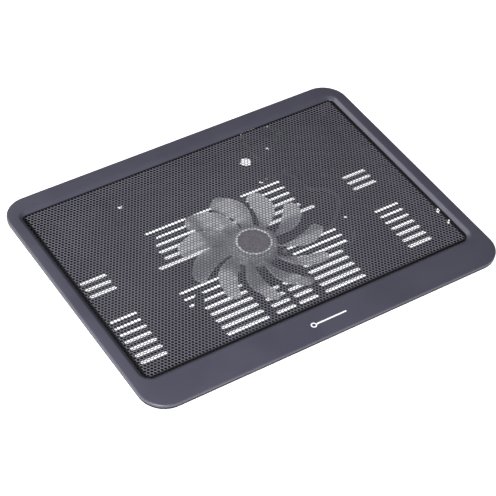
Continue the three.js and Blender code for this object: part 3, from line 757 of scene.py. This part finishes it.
BEZEL = bezel_finish().material
BELLY = belly_finish().material
SCREEN = screen_finish().material
FROSTED = frosted_finish().material
STEEL = brushed("zinc_plated_steel", (0.38, 0.38, 0.39), (0.62, 0.62, 0.64), 0.24).material
RUBBER = rubber_finish().material
BLACK = moulded("black_plastic", (0.010, 0.010, 0.011), (0.016, 0.016, 0.018), 0.36).material
NYLON = nylon_finish().material
SILVER = print_finish().material
DARK_STEEL = brushed("blackened_steel", (0.035, 0.035, 0.038), (0.075, 0.075, 0.080), 0.34).material
FINISH_OF_SLOT = {
    "bezel_plastic": BEZEL,
    "screen_metal": SCREEN,
    "belly_plastic": BELLY,
    "silver_print": SILVER,
    "label_film": label_finish().material,
    "steel": STEEL,
    "rubber": RUBBER,
    "black_plastic": BLACK,
    "bronze": bronze_finish().material,
    "copper": copper_finish().material,
    "circuit_board": board_finish().material,
    "nylon": NYLON,
    "lamp_lens": lens_finish().material,
    "red_lead": lead_finish("red_insulation", (0.022, 0.004, 0.004), (0.04, 0.012, 0.012)).material,
    "black_lead": lead_finish("black_insulation", (0.012, 0.012, 0.013), (0.05, 0.05, 0.05)).material,
    "frosted_plastic": FROSTED,
    "magnet": magnet_finish().material,
}
SLOT_OF_NODE = {part["node"]: part["material_slot"] for part in frame["record"]["subparts"]}


def frame_finishes():
    """Gives every frame node that stays visible the finish of its slot."""
    for node, thing in frame["nodes"].items():
        thing.data.materials.clear()
        thing.data.materials.append(FINISH_OF_SLOT[SLOT_OF_NODE[node]])


# ---- Bezel and screen


def opening_ring(shape, grow, z):
    """The screen opening's outline, grown by the given amount on every side."""
    return ring(
        shape,
        (-OPENING_X - grow, OPENING_X + grow, OPENING_FRONT - grow, OPENING_BACK + grow),
        z,
        front=OPENING_FRONT_CORNER + grow,
        back=OPENING_BACK_CORNER + grow,
    )


def rim_ring(shape, inset, z):
    """The casing's outline, drawn in by inset."""
    return ring(
        shape,
        (-HALF_WIDTH + inset, HALF_WIDTH - inset, -HALF_DEPTH + inset, HALF_DEPTH - inset),
        z,
        front=CORNER - inset,
    )


def bezel():
    """A flat plate with a rounded outer edge, a bevelled opening and a lip that holds the screen down."""
    shape = bmesh.new()
    under = TOP - PLATE
    rings = [rim_ring(shape, 0, under)]
    for across, up in quarter_turn(6):
        rings.append(rim_ring(shape, RIM_ROUND * (1 - across), TOP - RIM_ROUND + RIM_ROUND * up))
    # The bevel starts with a soft shoulder and ends in a soft foot
    for grow, drop in ((BEVEL_ROUND, LEVEL_GAP), (0.35, 0.06), (-0.15, 0.22), (-0.6, 0.55)):
        rings.append(opening_ring(shape, grow, TOP - drop))
    for grow, z in (
        (-BEVEL_WIDTH + 0.35, TOP - BEVEL_DROP + 0.22),
        (-BEVEL_WIDTH + 0.05, TOP - BEVEL_DROP - 0.1),
        (-BEVEL_WIDTH, LIP_BOTTOM),
        (-BEVEL_WIDTH + LIP_WALL, LIP_BOTTOM + LEVEL_GAP),
        (-BEVEL_WIDTH + LIP_WALL, under - LEVEL_GAP),
    ):
        rings.append(opening_ring(shape, grow, z))
    lofted(shape, rings, closed=True)
    piece("bezel", outward(shape), "housing", "top_frame", BEZEL)


def screen_half(word, first_column, last_column):
    """Half of the screen: one six-sided cell is doubled until it covers the sheet, cut to size and pierced.
    Columns are counted from the middle of the sheet, and the halves meet along the edges of whole cells."""
    x_edge = SCREEN_HIGH.x + SCREEN_TUCK
    y0 = SCREEN_LOW.y - SCREEN_TUCK
    y1 = SCREEN_HIGH.y + SCREEN_TUCK
    shape = bmesh.new()
    bmesh.ops.create_circle(shape, cap_ends=True, segments=6, radius=1)
    cell = list(shape.verts)
    # The cell stands on a point: its flats face along x, and its rows nest
    bmesh.ops.scale(shape, vec=(CELL_PITCH / math.sqrt(3), ROW_PITCH * 2 / 3, 1), verts=cell)
    bmesh.ops.translate(shape, vec=(first_column * CELL_PITCH, y0, SCREEN_HIGH.z), verts=cell)

    def doubled(step):
        copy = bmesh.ops.duplicate(shape, geom=shape.verts[:] + shape.edges[:] + shape.faces[:])
        moved = [part for part in copy["geom"] if isinstance(part, bmesh.types.BMVert)]
        bmesh.ops.translate(shape, vec=step, verts=moved)

    columns, rows = 1, 2
    doubled((CELL_PITCH / 2, ROW_PITCH, 0))
    while rows * ROW_PITCH < y1 - y0 + ROW_PITCH:
        doubled((0, rows * ROW_PITCH, 0))
        rows *= 2
    while columns < last_column - first_column:
        doubled((columns * CELL_PITCH, 0, 0))
        columns *= 2
    bmesh.ops.remove_doubles(shape, verts=shape.verts, dist=0.01)
    past = (last_column - 0.25) * CELL_PITCH
    surplus = [f for f in shape.faces if f.calc_center_median().x > past]
    bmesh.ops.delete(shape, geom=surplus, context="FACES")
    for place, side in (
        ((-x_edge, 0, 0), (-1, 0, 0)),
        ((x_edge, 0, 0), (1, 0, 0)),
        ((0, y0, 0), (0, -1, 0)),
        ((0, y1, 0), (0, 1, 0)),
    ):
        bmesh.ops.bisect_plane(
            shape,
            geom=shape.verts[:] + shape.edges[:] + shape.faces[:],
            plane_co=place,
            plane_no=side,
            clear_outer=True,
            dist=0.01,
        )
    whole = 0.9 * CELL_PITCH * ROW_PITCH
    cells = [f for f in shape.faces if f.calc_area() > whole]
    bmesh.ops.inset_individual(shape, faces=cells, thickness=STRIP, use_even_offset=True)
    bmesh.ops.delete(shape, geom=cells, context="FACES")
    bmesh.ops.recalc_face_normals(shape, faces=shape.faces)
    if shape.faces[:][0].normal.z < 0:
        bmesh.ops.reverse_faces(shape, faces=shape.faces)
    bmesh.ops.solidify(shape, geom=shape.faces[:], thickness=SCREEN_SHEET)
    piece("screen_" + word, shape, "housing", "mesh_screen", SCREEN)


# ---- Belly


def belly_ring(shape, inset, z):
    """The belly's outline at a height: wider towards the flange."""
    rise = (z - FLOOR_BOTTOM) / (FLANGE_TOP - FLOOR_BOTTOM)
    x = BELLY_X - inset + BELLY_FLARE * rise
    grow = 0.8 * BELLY_FLARE * rise - inset
    return ring(
        shape,
        (-x, x, BELLY_FRONT - grow, BELLY_BACK + grow),
        z,
        front=BELLY_CORNER - inset,
    )


def belly_bowl():
    """Floor, flared walls, flange and upstand as one closed wall."""
    shape = bmesh.new()
    rings = []
    for across, up in quarter_turn(4):
        rings.append(belly_ring(shape, BELLY_EDGE * (1 - up), FLOOR_BOTTOM + BELLY_EDGE * (1 - across)))
    crease = 0.5
    soft = 0.4
    chamfer = 0.3
    inner = FLANGE_INSET + UPSTAND_WALL
    rings.append(belly_ring(shape, 0, FLANGE_BOTTOM - crease))
    rings.append(belly_ring(shape, -crease, FLANGE_BOTTOM - LEVEL_GAP))
    rings.append(rim_ring(shape, FLANGE_INSET + soft, FLANGE_BOTTOM))
    rings.append(rim_ring(shape, FLANGE_INSET, FLANGE_BOTTOM + soft))
    rings.append(rim_ring(shape, FLANGE_INSET, UPSTAND_TOP - chamfer))
    rings.append(rim_ring(shape, FLANGE_INSET + chamfer, UPSTAND_TOP))
    rings.append(rim_ring(shape, inner, UPSTAND_TOP - LEVEL_GAP))
    rings.append(rim_ring(shape, inner, FLANGE_TOP + LEVEL_GAP))
    rings.append(belly_ring(shape, WALL - soft, FLANGE_TOP))
    rings.append(belly_ring(shape, WALL, FLANGE_TOP - crease))
    for across, up in quarter_turn(4):
        inset = WALL + FLOOR_FILLET * (1 - across)
        rings.append(belly_ring(shape, inset, FLOOR_TOP + FLOOR_FILLET * (1 - up)))
    return lofted(shape, rings, capped=True)


def mirrored_box(box, side):
    """The box on the right of the middle, or its mirror image on the left."""
    x0, x1, y0, y1 = box
    return box if side > 0 else (-x1, -x0, y0, y1)


def slots(shape):
    """Long cutters with round ends, wider at both faces of the floor, so that each slot is chamfered."""
    half = SLOT_WIDTH / 2
    levels = [
        (2 * SLOT_CHAMFER, FLOOR_BOTTOM - SLOT_CHAMFER),
        (0, FLOOR_BOTTOM + SLOT_CHAMFER),
        (0, FLOOR_TOP - SLOT_CHAMFER),
        (2 * SLOT_CHAMFER, FLOOR_TOP + SLOT_CHAMFER),
    ]
    for x0, x1, back, front in SLOT_BLOCKS:
        rows = [BACK_ROW + SLOT_PITCH * i for i in back] + [FRONT_ROW - SLOT_PITCH * i for i in front]
        for y in rows:
            for side in (-1, 1):
                box = mirrored_box((x0, x1, y - half, y + half), side)
                rings = [
                    ring(shape, shrunk(box, -grow), z, front=0.97 * (half + grow), steps=4)
                    for grow, z in levels
                ]
                lofted(shape, rings, capped=True)


def round_holes(shape):
    """Through holes, and the blind holes for the board's screws."""
    top = BAY_TOP + 1
    through = [(x, y, radius, 0) for x, y, radius in ROUND_HOLES]
    blind = [(x, y, PILOT_RADIUS, FLOOR_TOP) for x, y in BOARD_SCREWS]
    for x, y, radius, bottom in through + blind:
        turned(shape, [(0, bottom), (radius, bottom), (radius, top), (0, top)], x, y, 24)


def dome(shape, side, radius, height):
    """A flattened half ball on a short stem, in the place of a thumb scoop."""
    stem = FLOOR_BOTTOM - 2
    profile = [(0, stem), (radius, stem)]
    profile += [(radius * across, FLOOR_BOTTOM + height * up) for across, up in quarter_turn(8)]
    turned(shape, profile, side * SCOOP_X, SCOOP_Y, 28)


def supports(shape, start):
    """Posts under the screen and bosses under the power board's screws."""
    foot = POST_RADIUS + 0.5
    top = SCREEN_LOW.z - 0.3
    post = [
        (0, start),
        (foot, start),
        (foot, FLOOR_TOP + 0.6),
        (POST_RADIUS, FLOOR_TOP + 3),
        (POST_RADIUS - 0.2, top - 0.3),
        (POST_RADIUS - 0.5, top),
        (0, top),
    ]
    for x, y in POSTS:
        turned(shape, post, x, y, 20)
    boss_top = corners_of("power_board")[0].z - 0.1
    boss = [(0, start), (BOSS_RADIUS, start), (BOSS_RADIUS, boss_top), (0, boss_top)]
    for x, y in BOARD_SCREWS:
        turned(shape, boss, x, y, 20)


def belly():
    """The bottom shell: bowl, raised bays, posts, slots, holes and windows."""
    shell = belly_bowl()
    start = FLOOR_BOTTOM + 0.2  # joined shapes start inside the floor

    tray = prism(bmesh.new(), TRAY, start, BAY_TOP, radius=2, soft=0.8)
    groove = prism(bmesh.new(), GROOVE, BAY_TOP - GROOVE_DEPTH, BAY_TOP + 1, radius=1.2)
    raised = combined(tray, groove, "DIFFERENCE")
    for side in (-1, 1):
        prism(raised, mirrored_box(LEG_BAY, side), start, BAY_TOP, radius=2, soft=0.8)
    supports(raised, start)
    shell = combined(shell, raised, "UNION")

    scoops = bmesh.new()
    for side in (-1, 1):
        dome(scoops, side, SCOOP_RADIUS, SCOOP_HEIGHT)
    bmesh.ops.bisect_plane(
        scoops,
        geom=scoops.verts[:] + scoops.edges[:] + scoops.faces[:],
        plane_co=(0, 0, start),
        plane_no=(0, 0, -1),
        clear_outer=True,
    )
    bmesh.ops.holes_fill(scoops, edges=scoops.edges[:], sides=0)
    shell = combined(shell, scoops, "UNION")

    ceiling = BAY_TOP - BAY_WALL
    hollow = prism(bmesh.new(), shrunk(TRAY, BAY_WALL), -1, ceiling, radius=1)
    keel = prism(bmesh.new(), shrunk(GROOVE, -BAY_WALL), ceiling - GROOVE_DEPTH, BAY_TOP, radius=1)
    cuts = combined(hollow, keel, "DIFFERENCE")
    for side in (-1, 1):
        prism(cuts, shrunk(mirrored_box(LEG_BAY, side), BAY_WALL), -1, ceiling, radius=1)
    slots(cuts)
    windows(cuts)
    shell = combined(shell, cuts, "DIFFERENCE")

    last = bmesh.new()
    for side in (-1, 1):
        dome(last, side, SCOOP_RADIUS - SCOOP_SKIN, SCOOP_HEIGHT - SCOOP_SKIN)
    round_holes(last)
    for box, top in LEAD_NOTCHES:
        prism(last, box, 0, top, radius=0.8)
    shell = combined(shell, last, "DIFFERENCE")
    shell = combined(shell, hooks(), "UNION")
    piece("belly", shell, "housing", "bottom_shell", BELLY, sharp=28)


def windows(shape):
    """Openings for the socket and the switch, and vents high in both side walls."""
    through_back = (BELLY_BACK - 6, HALF_DEPTH - 3)
    through_side = (BELLY_X - 5, BELLY_X + 9)
    socket_low, socket_high = corners_of("usb_socket_shell")
    knob_low, knob_high = corners_of("switch_knob")
    for x0, x1, z0, z1 in (
        (socket_low.x, socket_high.x, socket_low.z, socket_high.z),
        (knob_low.x, knob_high.x + SWITCH_TRAVEL, knob_low.z, knob_high.z),
    ):
        box = (x0 - SOCKET_GAP, x1 + SOCKET_GAP, *through_back)
        prism(shape, box, z0 - SOCKET_GAP, z1 + SOCKET_GAP)
    for side in (-1, 1):
        for span in VENT_SPANS:
            prism(shape, mirrored_box((*through_side, *span), side), *VENT_HEIGHTS)


def hooks():
    """Tabs across the mouth of the tray that keep a stowed lead in."""
    shape = bmesh.new()
    inner, outer = TRAY[2] + BAY_WALL, TRAY[3] - BAY_WALL
    rows = [(FRONT_TABS, inner - 1, inner + TAB_REACH), (BACK_TABS, outer - TAB_REACH, outer + 1)]
    for middles, y0, y1 in rows:
        for x in middles:
            box = (x - TAB_HALF, x + TAB_HALF, y0, y1)
            prism(shape, box, FLOOR_BOTTOM, FLOOR_TOP, radius=0.9)
    return shape


# ---- Fan


def blade_place(along, across):
    """Where a point of a blade lies, from its share along the blade (0 to 1) and across it (-0.5 to 0.5)."""
    rise = BLADE_HIGH - BLADE_LOW - BLADE_THICKNESS
    radius = BLADE_ROOT + along * (BLADE_TIP - BLADE_ROOT)
    radius -= BLADE_TIP_ROUND * along**4 * (2 * across) ** 2
    wide = BLADE_ARC * (0.62 + 0.38 * math.sin(math.pi * min(along * 0.75, 0.5)))
    turn = BLADE_SWEEP * along**1.3 + wide * across * (1 - 0.35 * along**5)
    lift = rise * (0.5 - across) * (1 - 0.25 * along) + rise * 0.12 * along
    angle = math.radians(FIRST_BLADE + turn)
    return (
        radius * math.cos(angle),
        FAN_Y + radius * math.sin(angle),
        BLADE_LOW + BLADE_THICKNESS / 2 + lift,
    )


def blades():
    """Curved, pitched plates with softened rims, spun round the hub."""
    shape = bmesh.new()
    bmesh.ops.create_grid(shape, x_segments=18, y_segments=8, size=0.5)
    for vert in shape.verts:
        vert.co = blade_place(vert.co.x + 0.5, vert.co.y)
    bmesh.ops.recalc_face_normals(shape, faces=shape.faces)
    bmesh.ops.solidify(shape, geom=shape.faces[:], thickness=BLADE_THICKNESS)
    rim = [e for e in shape.edges if e.calc_face_angle(0) > math.radians(50)]
    bmesh.ops.bevel(
        shape,
        geom=rim,
        offset=BLADE_RIM,
        offset_type="OFFSET",
        segments=2,
        profile=0.5,
        affect="EDGES",
        material=-1,
    )
    bmesh.ops.spin(
        shape,
        geom=shape.verts[:] + shape.edges[:] + shape.faces[:],
        cent=(0, FAN_Y, 0),
        axis=(0, 0, 1),
        angle=math.tau * (BLADES - 1) / BLADES,
        steps=BLADES - 1,
        use_duplicate=True,
    )
    return shape


def impeller():
    """Hub cap with a rounded brim, and its blades, as one moulding."""
    inner = HUB_RADIUS - HUB_WALL
    ceiling = HUB_TOP - HUB_WALL + 0.3
    corner = 0.6
    chamfer = 0.3
    profile = [
        (0, ceiling),
        (inner - corner, ceiling),
        (inner, ceiling - corner),
        (inner, HUB_BOTTOM),
        (HUB_RADIUS - chamfer, HUB_BOTTOM),
        (HUB_RADIUS, HUB_BOTTOM + chamfer),
    ]
    for across, up in quarter_turn(6):
        profile.append((HUB_RADIUS - HUB_BRIM * (1 - across), HUB_TOP - HUB_BRIM + HUB_BRIM * up))
    profile.append((0, HUB_TOP))
    hub = turned(bmesh.new(), profile, 0, FAN_Y, FAN_STEPS)
    whole = combined(hub, blades(), "UNION")
    piece("impeller", whole, "rotor", "fan_impeller", FROSTED, sharp=40)


def hub_band():
    """The bright ring printed round the disc."""
    low, high = corners_of("hub_ring")
    outer, inner, bottom, top = high.x, high.x - BAND_WIDTH, low.z, high.z
    edge = 0.15
    shoulder = top - 0.1
    profile = [
        (inner, bottom),
        (outer, bottom),
        (outer, shoulder),
        (outer - edge, top),
        (inner + edge, top),
        (inner, shoulder),
        (inner, bottom),
    ]
    shape = turned(bmesh.new(), profile, 0, FAN_Y, FAN_STEPS)
    piece("hub_band", outward(shape), "rotor", "hub_ring", SILVER)


def hub_foil():
    """The thin foil disc in the middle of the hub, with a softened rim."""
    low, high = corners_of("hub_disc")
    radius, bottom, top = high.x, low.z, high.z
    profile = [(0, bottom), (radius, bottom), (radius, top - 0.08), (radius - 0.1, top), (0, top)]
    shape = turned(bmesh.new(), profile, 0, FAN_Y, FAN_STEPS)
    piece("hub_foil", outward(shape), "rotor", "hub_disc", foil_finish().material)


# ---- Screws, feet, legs and trim


def upright_of(node):
    """Where a round upright node stands: its middle x and y, radius, bottom and top."""
    low, high = corners_of(node)
    return (low.x + high.x) / 2, (low.y + high.y) / 2, (high.y - low.y) / 2, low.z, high.z


def casing_screws():
    """Pan-head screws up into the bezel from below, each with a cross recess."""
    for i in range(1, 9):
        node = f"casing_screw_{i}"
        x, y, radius, z, tip = upright_of(node)
        seat = z + HEAD_HEIGHT
        profile = [
            (0, z),
            (radius * 0.55, z + 0.04),
            (radius * 0.82, z + 0.18),
            (radius * 0.96, z + 0.45),
            (radius, z + 0.8),
            (radius, seat),
            (SHANK_RADIUS, seat),
            (SHANK_RADIUS, tip - 0.6),
            (0.5, tip),
            (0, tip),
        ]
        shape = turned(bmesh.new(), profile, x, y, 24)
        for half_x, half_y in ((RECESS_REACH, RECESS_HALF), (RECESS_HALF, RECESS_REACH)):
            box = (x - half_x, x + half_x, y - half_y, y + half_y)
            cutter = prism(bmesh.new(), box, z - 1, z + RECESS_DEPTH)
            shape = combined(shape, cutter, "DIFFERENCE")
        piece(f"pan_screw_{i}", shape, "housing", node, STEEL)


def feet():
    """Rubber feet with a rounded rim and a shallow dish."""
    for i in range(1, 5):
        node = f"rubber_foot_{i}"
        x, y, radius, _, top = upright_of(node)
        dish = [(0, 0.25), (radius * 0.55, 0.22), (radius * 0.72, 0.02), (radius * 0.8, 0)]
        rim = [(radius - 0.55, 0), (radius - 0.2, 0.12), (radius - 0.03, 0.4), (radius, 0.8)]
        shape = turned(bmesh.new(), dish + rim + [(radius, top), (0, top)], x, y, 40)
        piece(f"foot_{i}", outward(shape), "housing", node, RUBBER)


def fold_out_legs():
    """The two rear legs and their rubber tips."""
    for word in ("left", "right"):
        body = "leg_" + word
        leg = softened("rear_leg_" + word, 0.35)
        piece("stand_leg_" + word, leg, body, "rear_leg_" + word, BELLY)
        pad = softened("leg_pad_" + word, 0.3)
        piece("stand_pad_" + word, pad, body, "leg_pad_" + word, RUBBER)


def emblem():
    """A plain ring with a bar, printed on the front band."""
    shape = bmesh.new()
    z0, z1 = TOP - 0.02, TOP + EMBLEM_LIFT
    middle, inner, outer = EMBLEM_RING
    band = [(inner, z0), (outer, z0), (outer, z1), (inner, z1), (inner, z0)]
    turned(shape, band, middle, EMBLEM_Y, 40)
    bar = (*EMBLEM_BAR, EMBLEM_Y - EMBLEM_BAR_HALF, EMBLEM_Y + EMBLEM_BAR_HALF)
    prism(shape, bar, z0, z1, radius=0.55)
    piece("front_mark", outward(shape), "housing", "front_emblem", SILVER)


def softened_parts():
    """Small moulded and pressed parts: copies of the frame's nodes with rounded edges."""
    for name, node, body, width in (
        ("board_box", "board_cover", "housing", 0.35),
        ("socket_case", "usb_socket_shell", "housing", 0.12),
        ("socket_tongue", "usb_socket_tongue", "housing", 0.15),
        ("switch_case", "switch_body", "housing", 0.2),
        ("switch_thumb", "switch_knob", "switch", 0.18),
        ("header_block", "lead_header", "housing", 0.25),
        ("plug_block", "lead_plug", "housing", 0.25),
        ("motor_seat", "motor_base", "housing", 0.2),
    ):
        slot = SLOT_OF_NODE[node]
        finish = DARK_STEEL if node == "usb_socket_shell" else FINISH_OF_SLOT[slot]
        piece(name, softened(node, width), body, node, finish)


def lamp():
    """The power lamp: a short stem with a domed top."""
    x, y, _, bottom, top = upright_of("power_lamp")
    crown = top - LAMP_CROWN
    profile = [(0, bottom), (LAMP_RADIUS, bottom), (LAMP_RADIUS, crown - 0.2)]
    profile += [(LAMP_RADIUS * across, crown + LAMP_CROWN * up) for across, up in quarter_turn(5)]
    profile.append((0, top))
    shape = turned(bmesh.new(), profile, x, y, 24)
    piece("lamp_dome", outward(shape), "housing", "power_lamp", FINISH_OF_SLOT["lamp_lens"])


def lead_places(side):
    """The points of one lead in metres: the shared route, shifted to that side of it."""
    places = []
    for i, (x, y, z) in enumerate(LEAD_ROUTE):
        before = Vector(LEAD_ROUTE[max(i - 1, 0)][:2])
        after = Vector(LEAD_ROUTE[min(i + 1, len(LEAD_ROUTE) - 1)][:2])
        along = (after - before).normalized()
        shift = side * LEAD_SPREAD
        places.append(Vector((x - along.y * shift, y + along.x * shift, z)) * MM)
    return places


def length_of(curve):
    """The length of a curve's middle line, in metres."""
    bare = curve.copy()
    bare.bevel_depth = 0
    line = bpy.data.objects.new("line", bare)
    flat = bpy.data.meshes.new_from_object(line)
    points = [v.co.copy() for v in flat.vertices]
    bpy.data.objects.remove(line)
    bpy.data.curves.remove(bare)
    bpy.data.meshes.remove(flat)
    return sum((b - a).length for a, b in zip(points, points[1:]))


def fan_leads():
    """The pair of leads from the motor to the plug on the board."""
    for word, side in (("red", 1), ("black", -1)):
        places = lead_places(side)
        curve = bpy.data.curves.new("lead_" + word, "CURVE")
        curve.dimensions = "3D"
        curve.bevel_depth = LEAD_RADIUS * MM
        curve.bevel_resolution = 4
        curve.resolution_u = curve.render_resolution_u = 8
        curve.use_fill_caps = True
        spline = curve.splines.new("BEZIER")
        spline.bezier_points.add(len(places) - 1)
        for point, place in zip(spline.bezier_points, places):
            point.co = place
            point.handle_left_type = point.handle_right_type = "AUTO"
        made = bpy.data.objects.new("lead_" + word, curve)
        bpy.context.scene.collection.objects.link(made)
        bpy.context.view_layer.update()
        slot = word + "_lead"
        curve.materials.append(FINISH_OF_SLOT[slot])
        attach(made, "housing")
        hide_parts("fan_lead_" + word)
        round(length_of(curve), 4)


# ---- Stage, lights and camera


def stage():
    """A white floor that is lit from within, so that it shows through the slots."""
    shape = bmesh.new()
    bmesh.ops.create_grid(shape, x_segments=8, y_segments=8, size=4)
    bmesh.ops.translate(shape, vec=(0, 0, -FLOOR_GAP), verts=shape.verts)
    floor = loose_object(shape, "floor")
    white = bpy.data.materials.new("white_floor")
    white.use_nodes = True
    shader = white.node_tree.nodes["Principled BSDF"]
    shader.inputs["Base Color"].default_value = (0.6, 0.6, 0.6, 1)
    shader.inputs["Roughness"].default_value = 0.9
    shader.inputs["Specular IOR Level"].default_value = 0
    shader.inputs["Emission Color"].default_value = (1, 1, 1, 1)
    shader.inputs["Emission Strength"].default_value = 1.15
    floor.data.materials.append(white)


def area_light(name, place, aim, size, power):
    """A square soft light of the given size in metres and power in watts."""
    lamp_data = bpy.data.lights.new(name, "AREA")
    lamp_data.shape = "SQUARE"
    lamp_data.size = size
    lamp_data.energy = power
    made = bpy.data.objects.new(name, lamp_data)
    made.location = place
    made.rotation_mode = "QUATERNION"
    made.rotation_quaternion = (Vector(aim) - Vector(place)).to_track_quat("-Z", "Y")
    bpy.context.scene.collection.objects.link(made)


def lights():
    """A dim even surround, a key at the left, a weak fill in front and a sheen from behind."""
    world = bpy.data.worlds.new("studio")
    world.use_nodes = True
    surround = world.node_tree.nodes["Background"]
    surround.inputs["Color"].default_value = (0.97, 0.98, 1, 1)
    surround.inputs["Strength"].default_value = 0.2
    bpy.context.scene.world = world
    area_light("key", (-0.95, -0.75, 0.62), (-0.13, -0.05, 0), 0.45, 32)
    area_light("fill", (-0.1, -1.2, 1.2), (-0.05, 0, 0), 0.9, 2)
    area_light("sheen", (-0.7, 1.05, 1.0), (-0.16, 0, 0), 0.8, 15)
    bpy.context.scene.view_settings.view_transform = "Standard"


def camera():
    """A long lens that looks down over the front left corner, turned slightly about its own axis."""
    data = bpy.data.cameras.new("camera")
    data.lens = CAMERA_LENS
    data.sensor_width = 36
    data.clip_start = 0.05
    data.clip_end = 20
    made = bpy.data.objects.new("camera", data)
    made.location = CAMERA_PLACE
    made.rotation_mode = "QUATERNION"
    level = (CAMERA_AIM - CAMERA_PLACE).to_track_quat("-Z", "Y")
    made.rotation_quaternion = level @ Quaternion((0, 0, 1), CAMERA_ROLL)
    bpy.context.scene.collection.objects.link(made)
    bpy.context.scene.camera = made


frame_finishes()
bezel()
screen_half("left", -HALF_COLUMNS, 0)
screen_half("right", 0, HALF_COLUMNS)
belly()
impeller()
hub_band()
hub_foil()
casing_screws()
feet()
fold_out_legs()
emblem()
softened_parts()
lamp()
fan_leads()
stage()
lights()
camera()
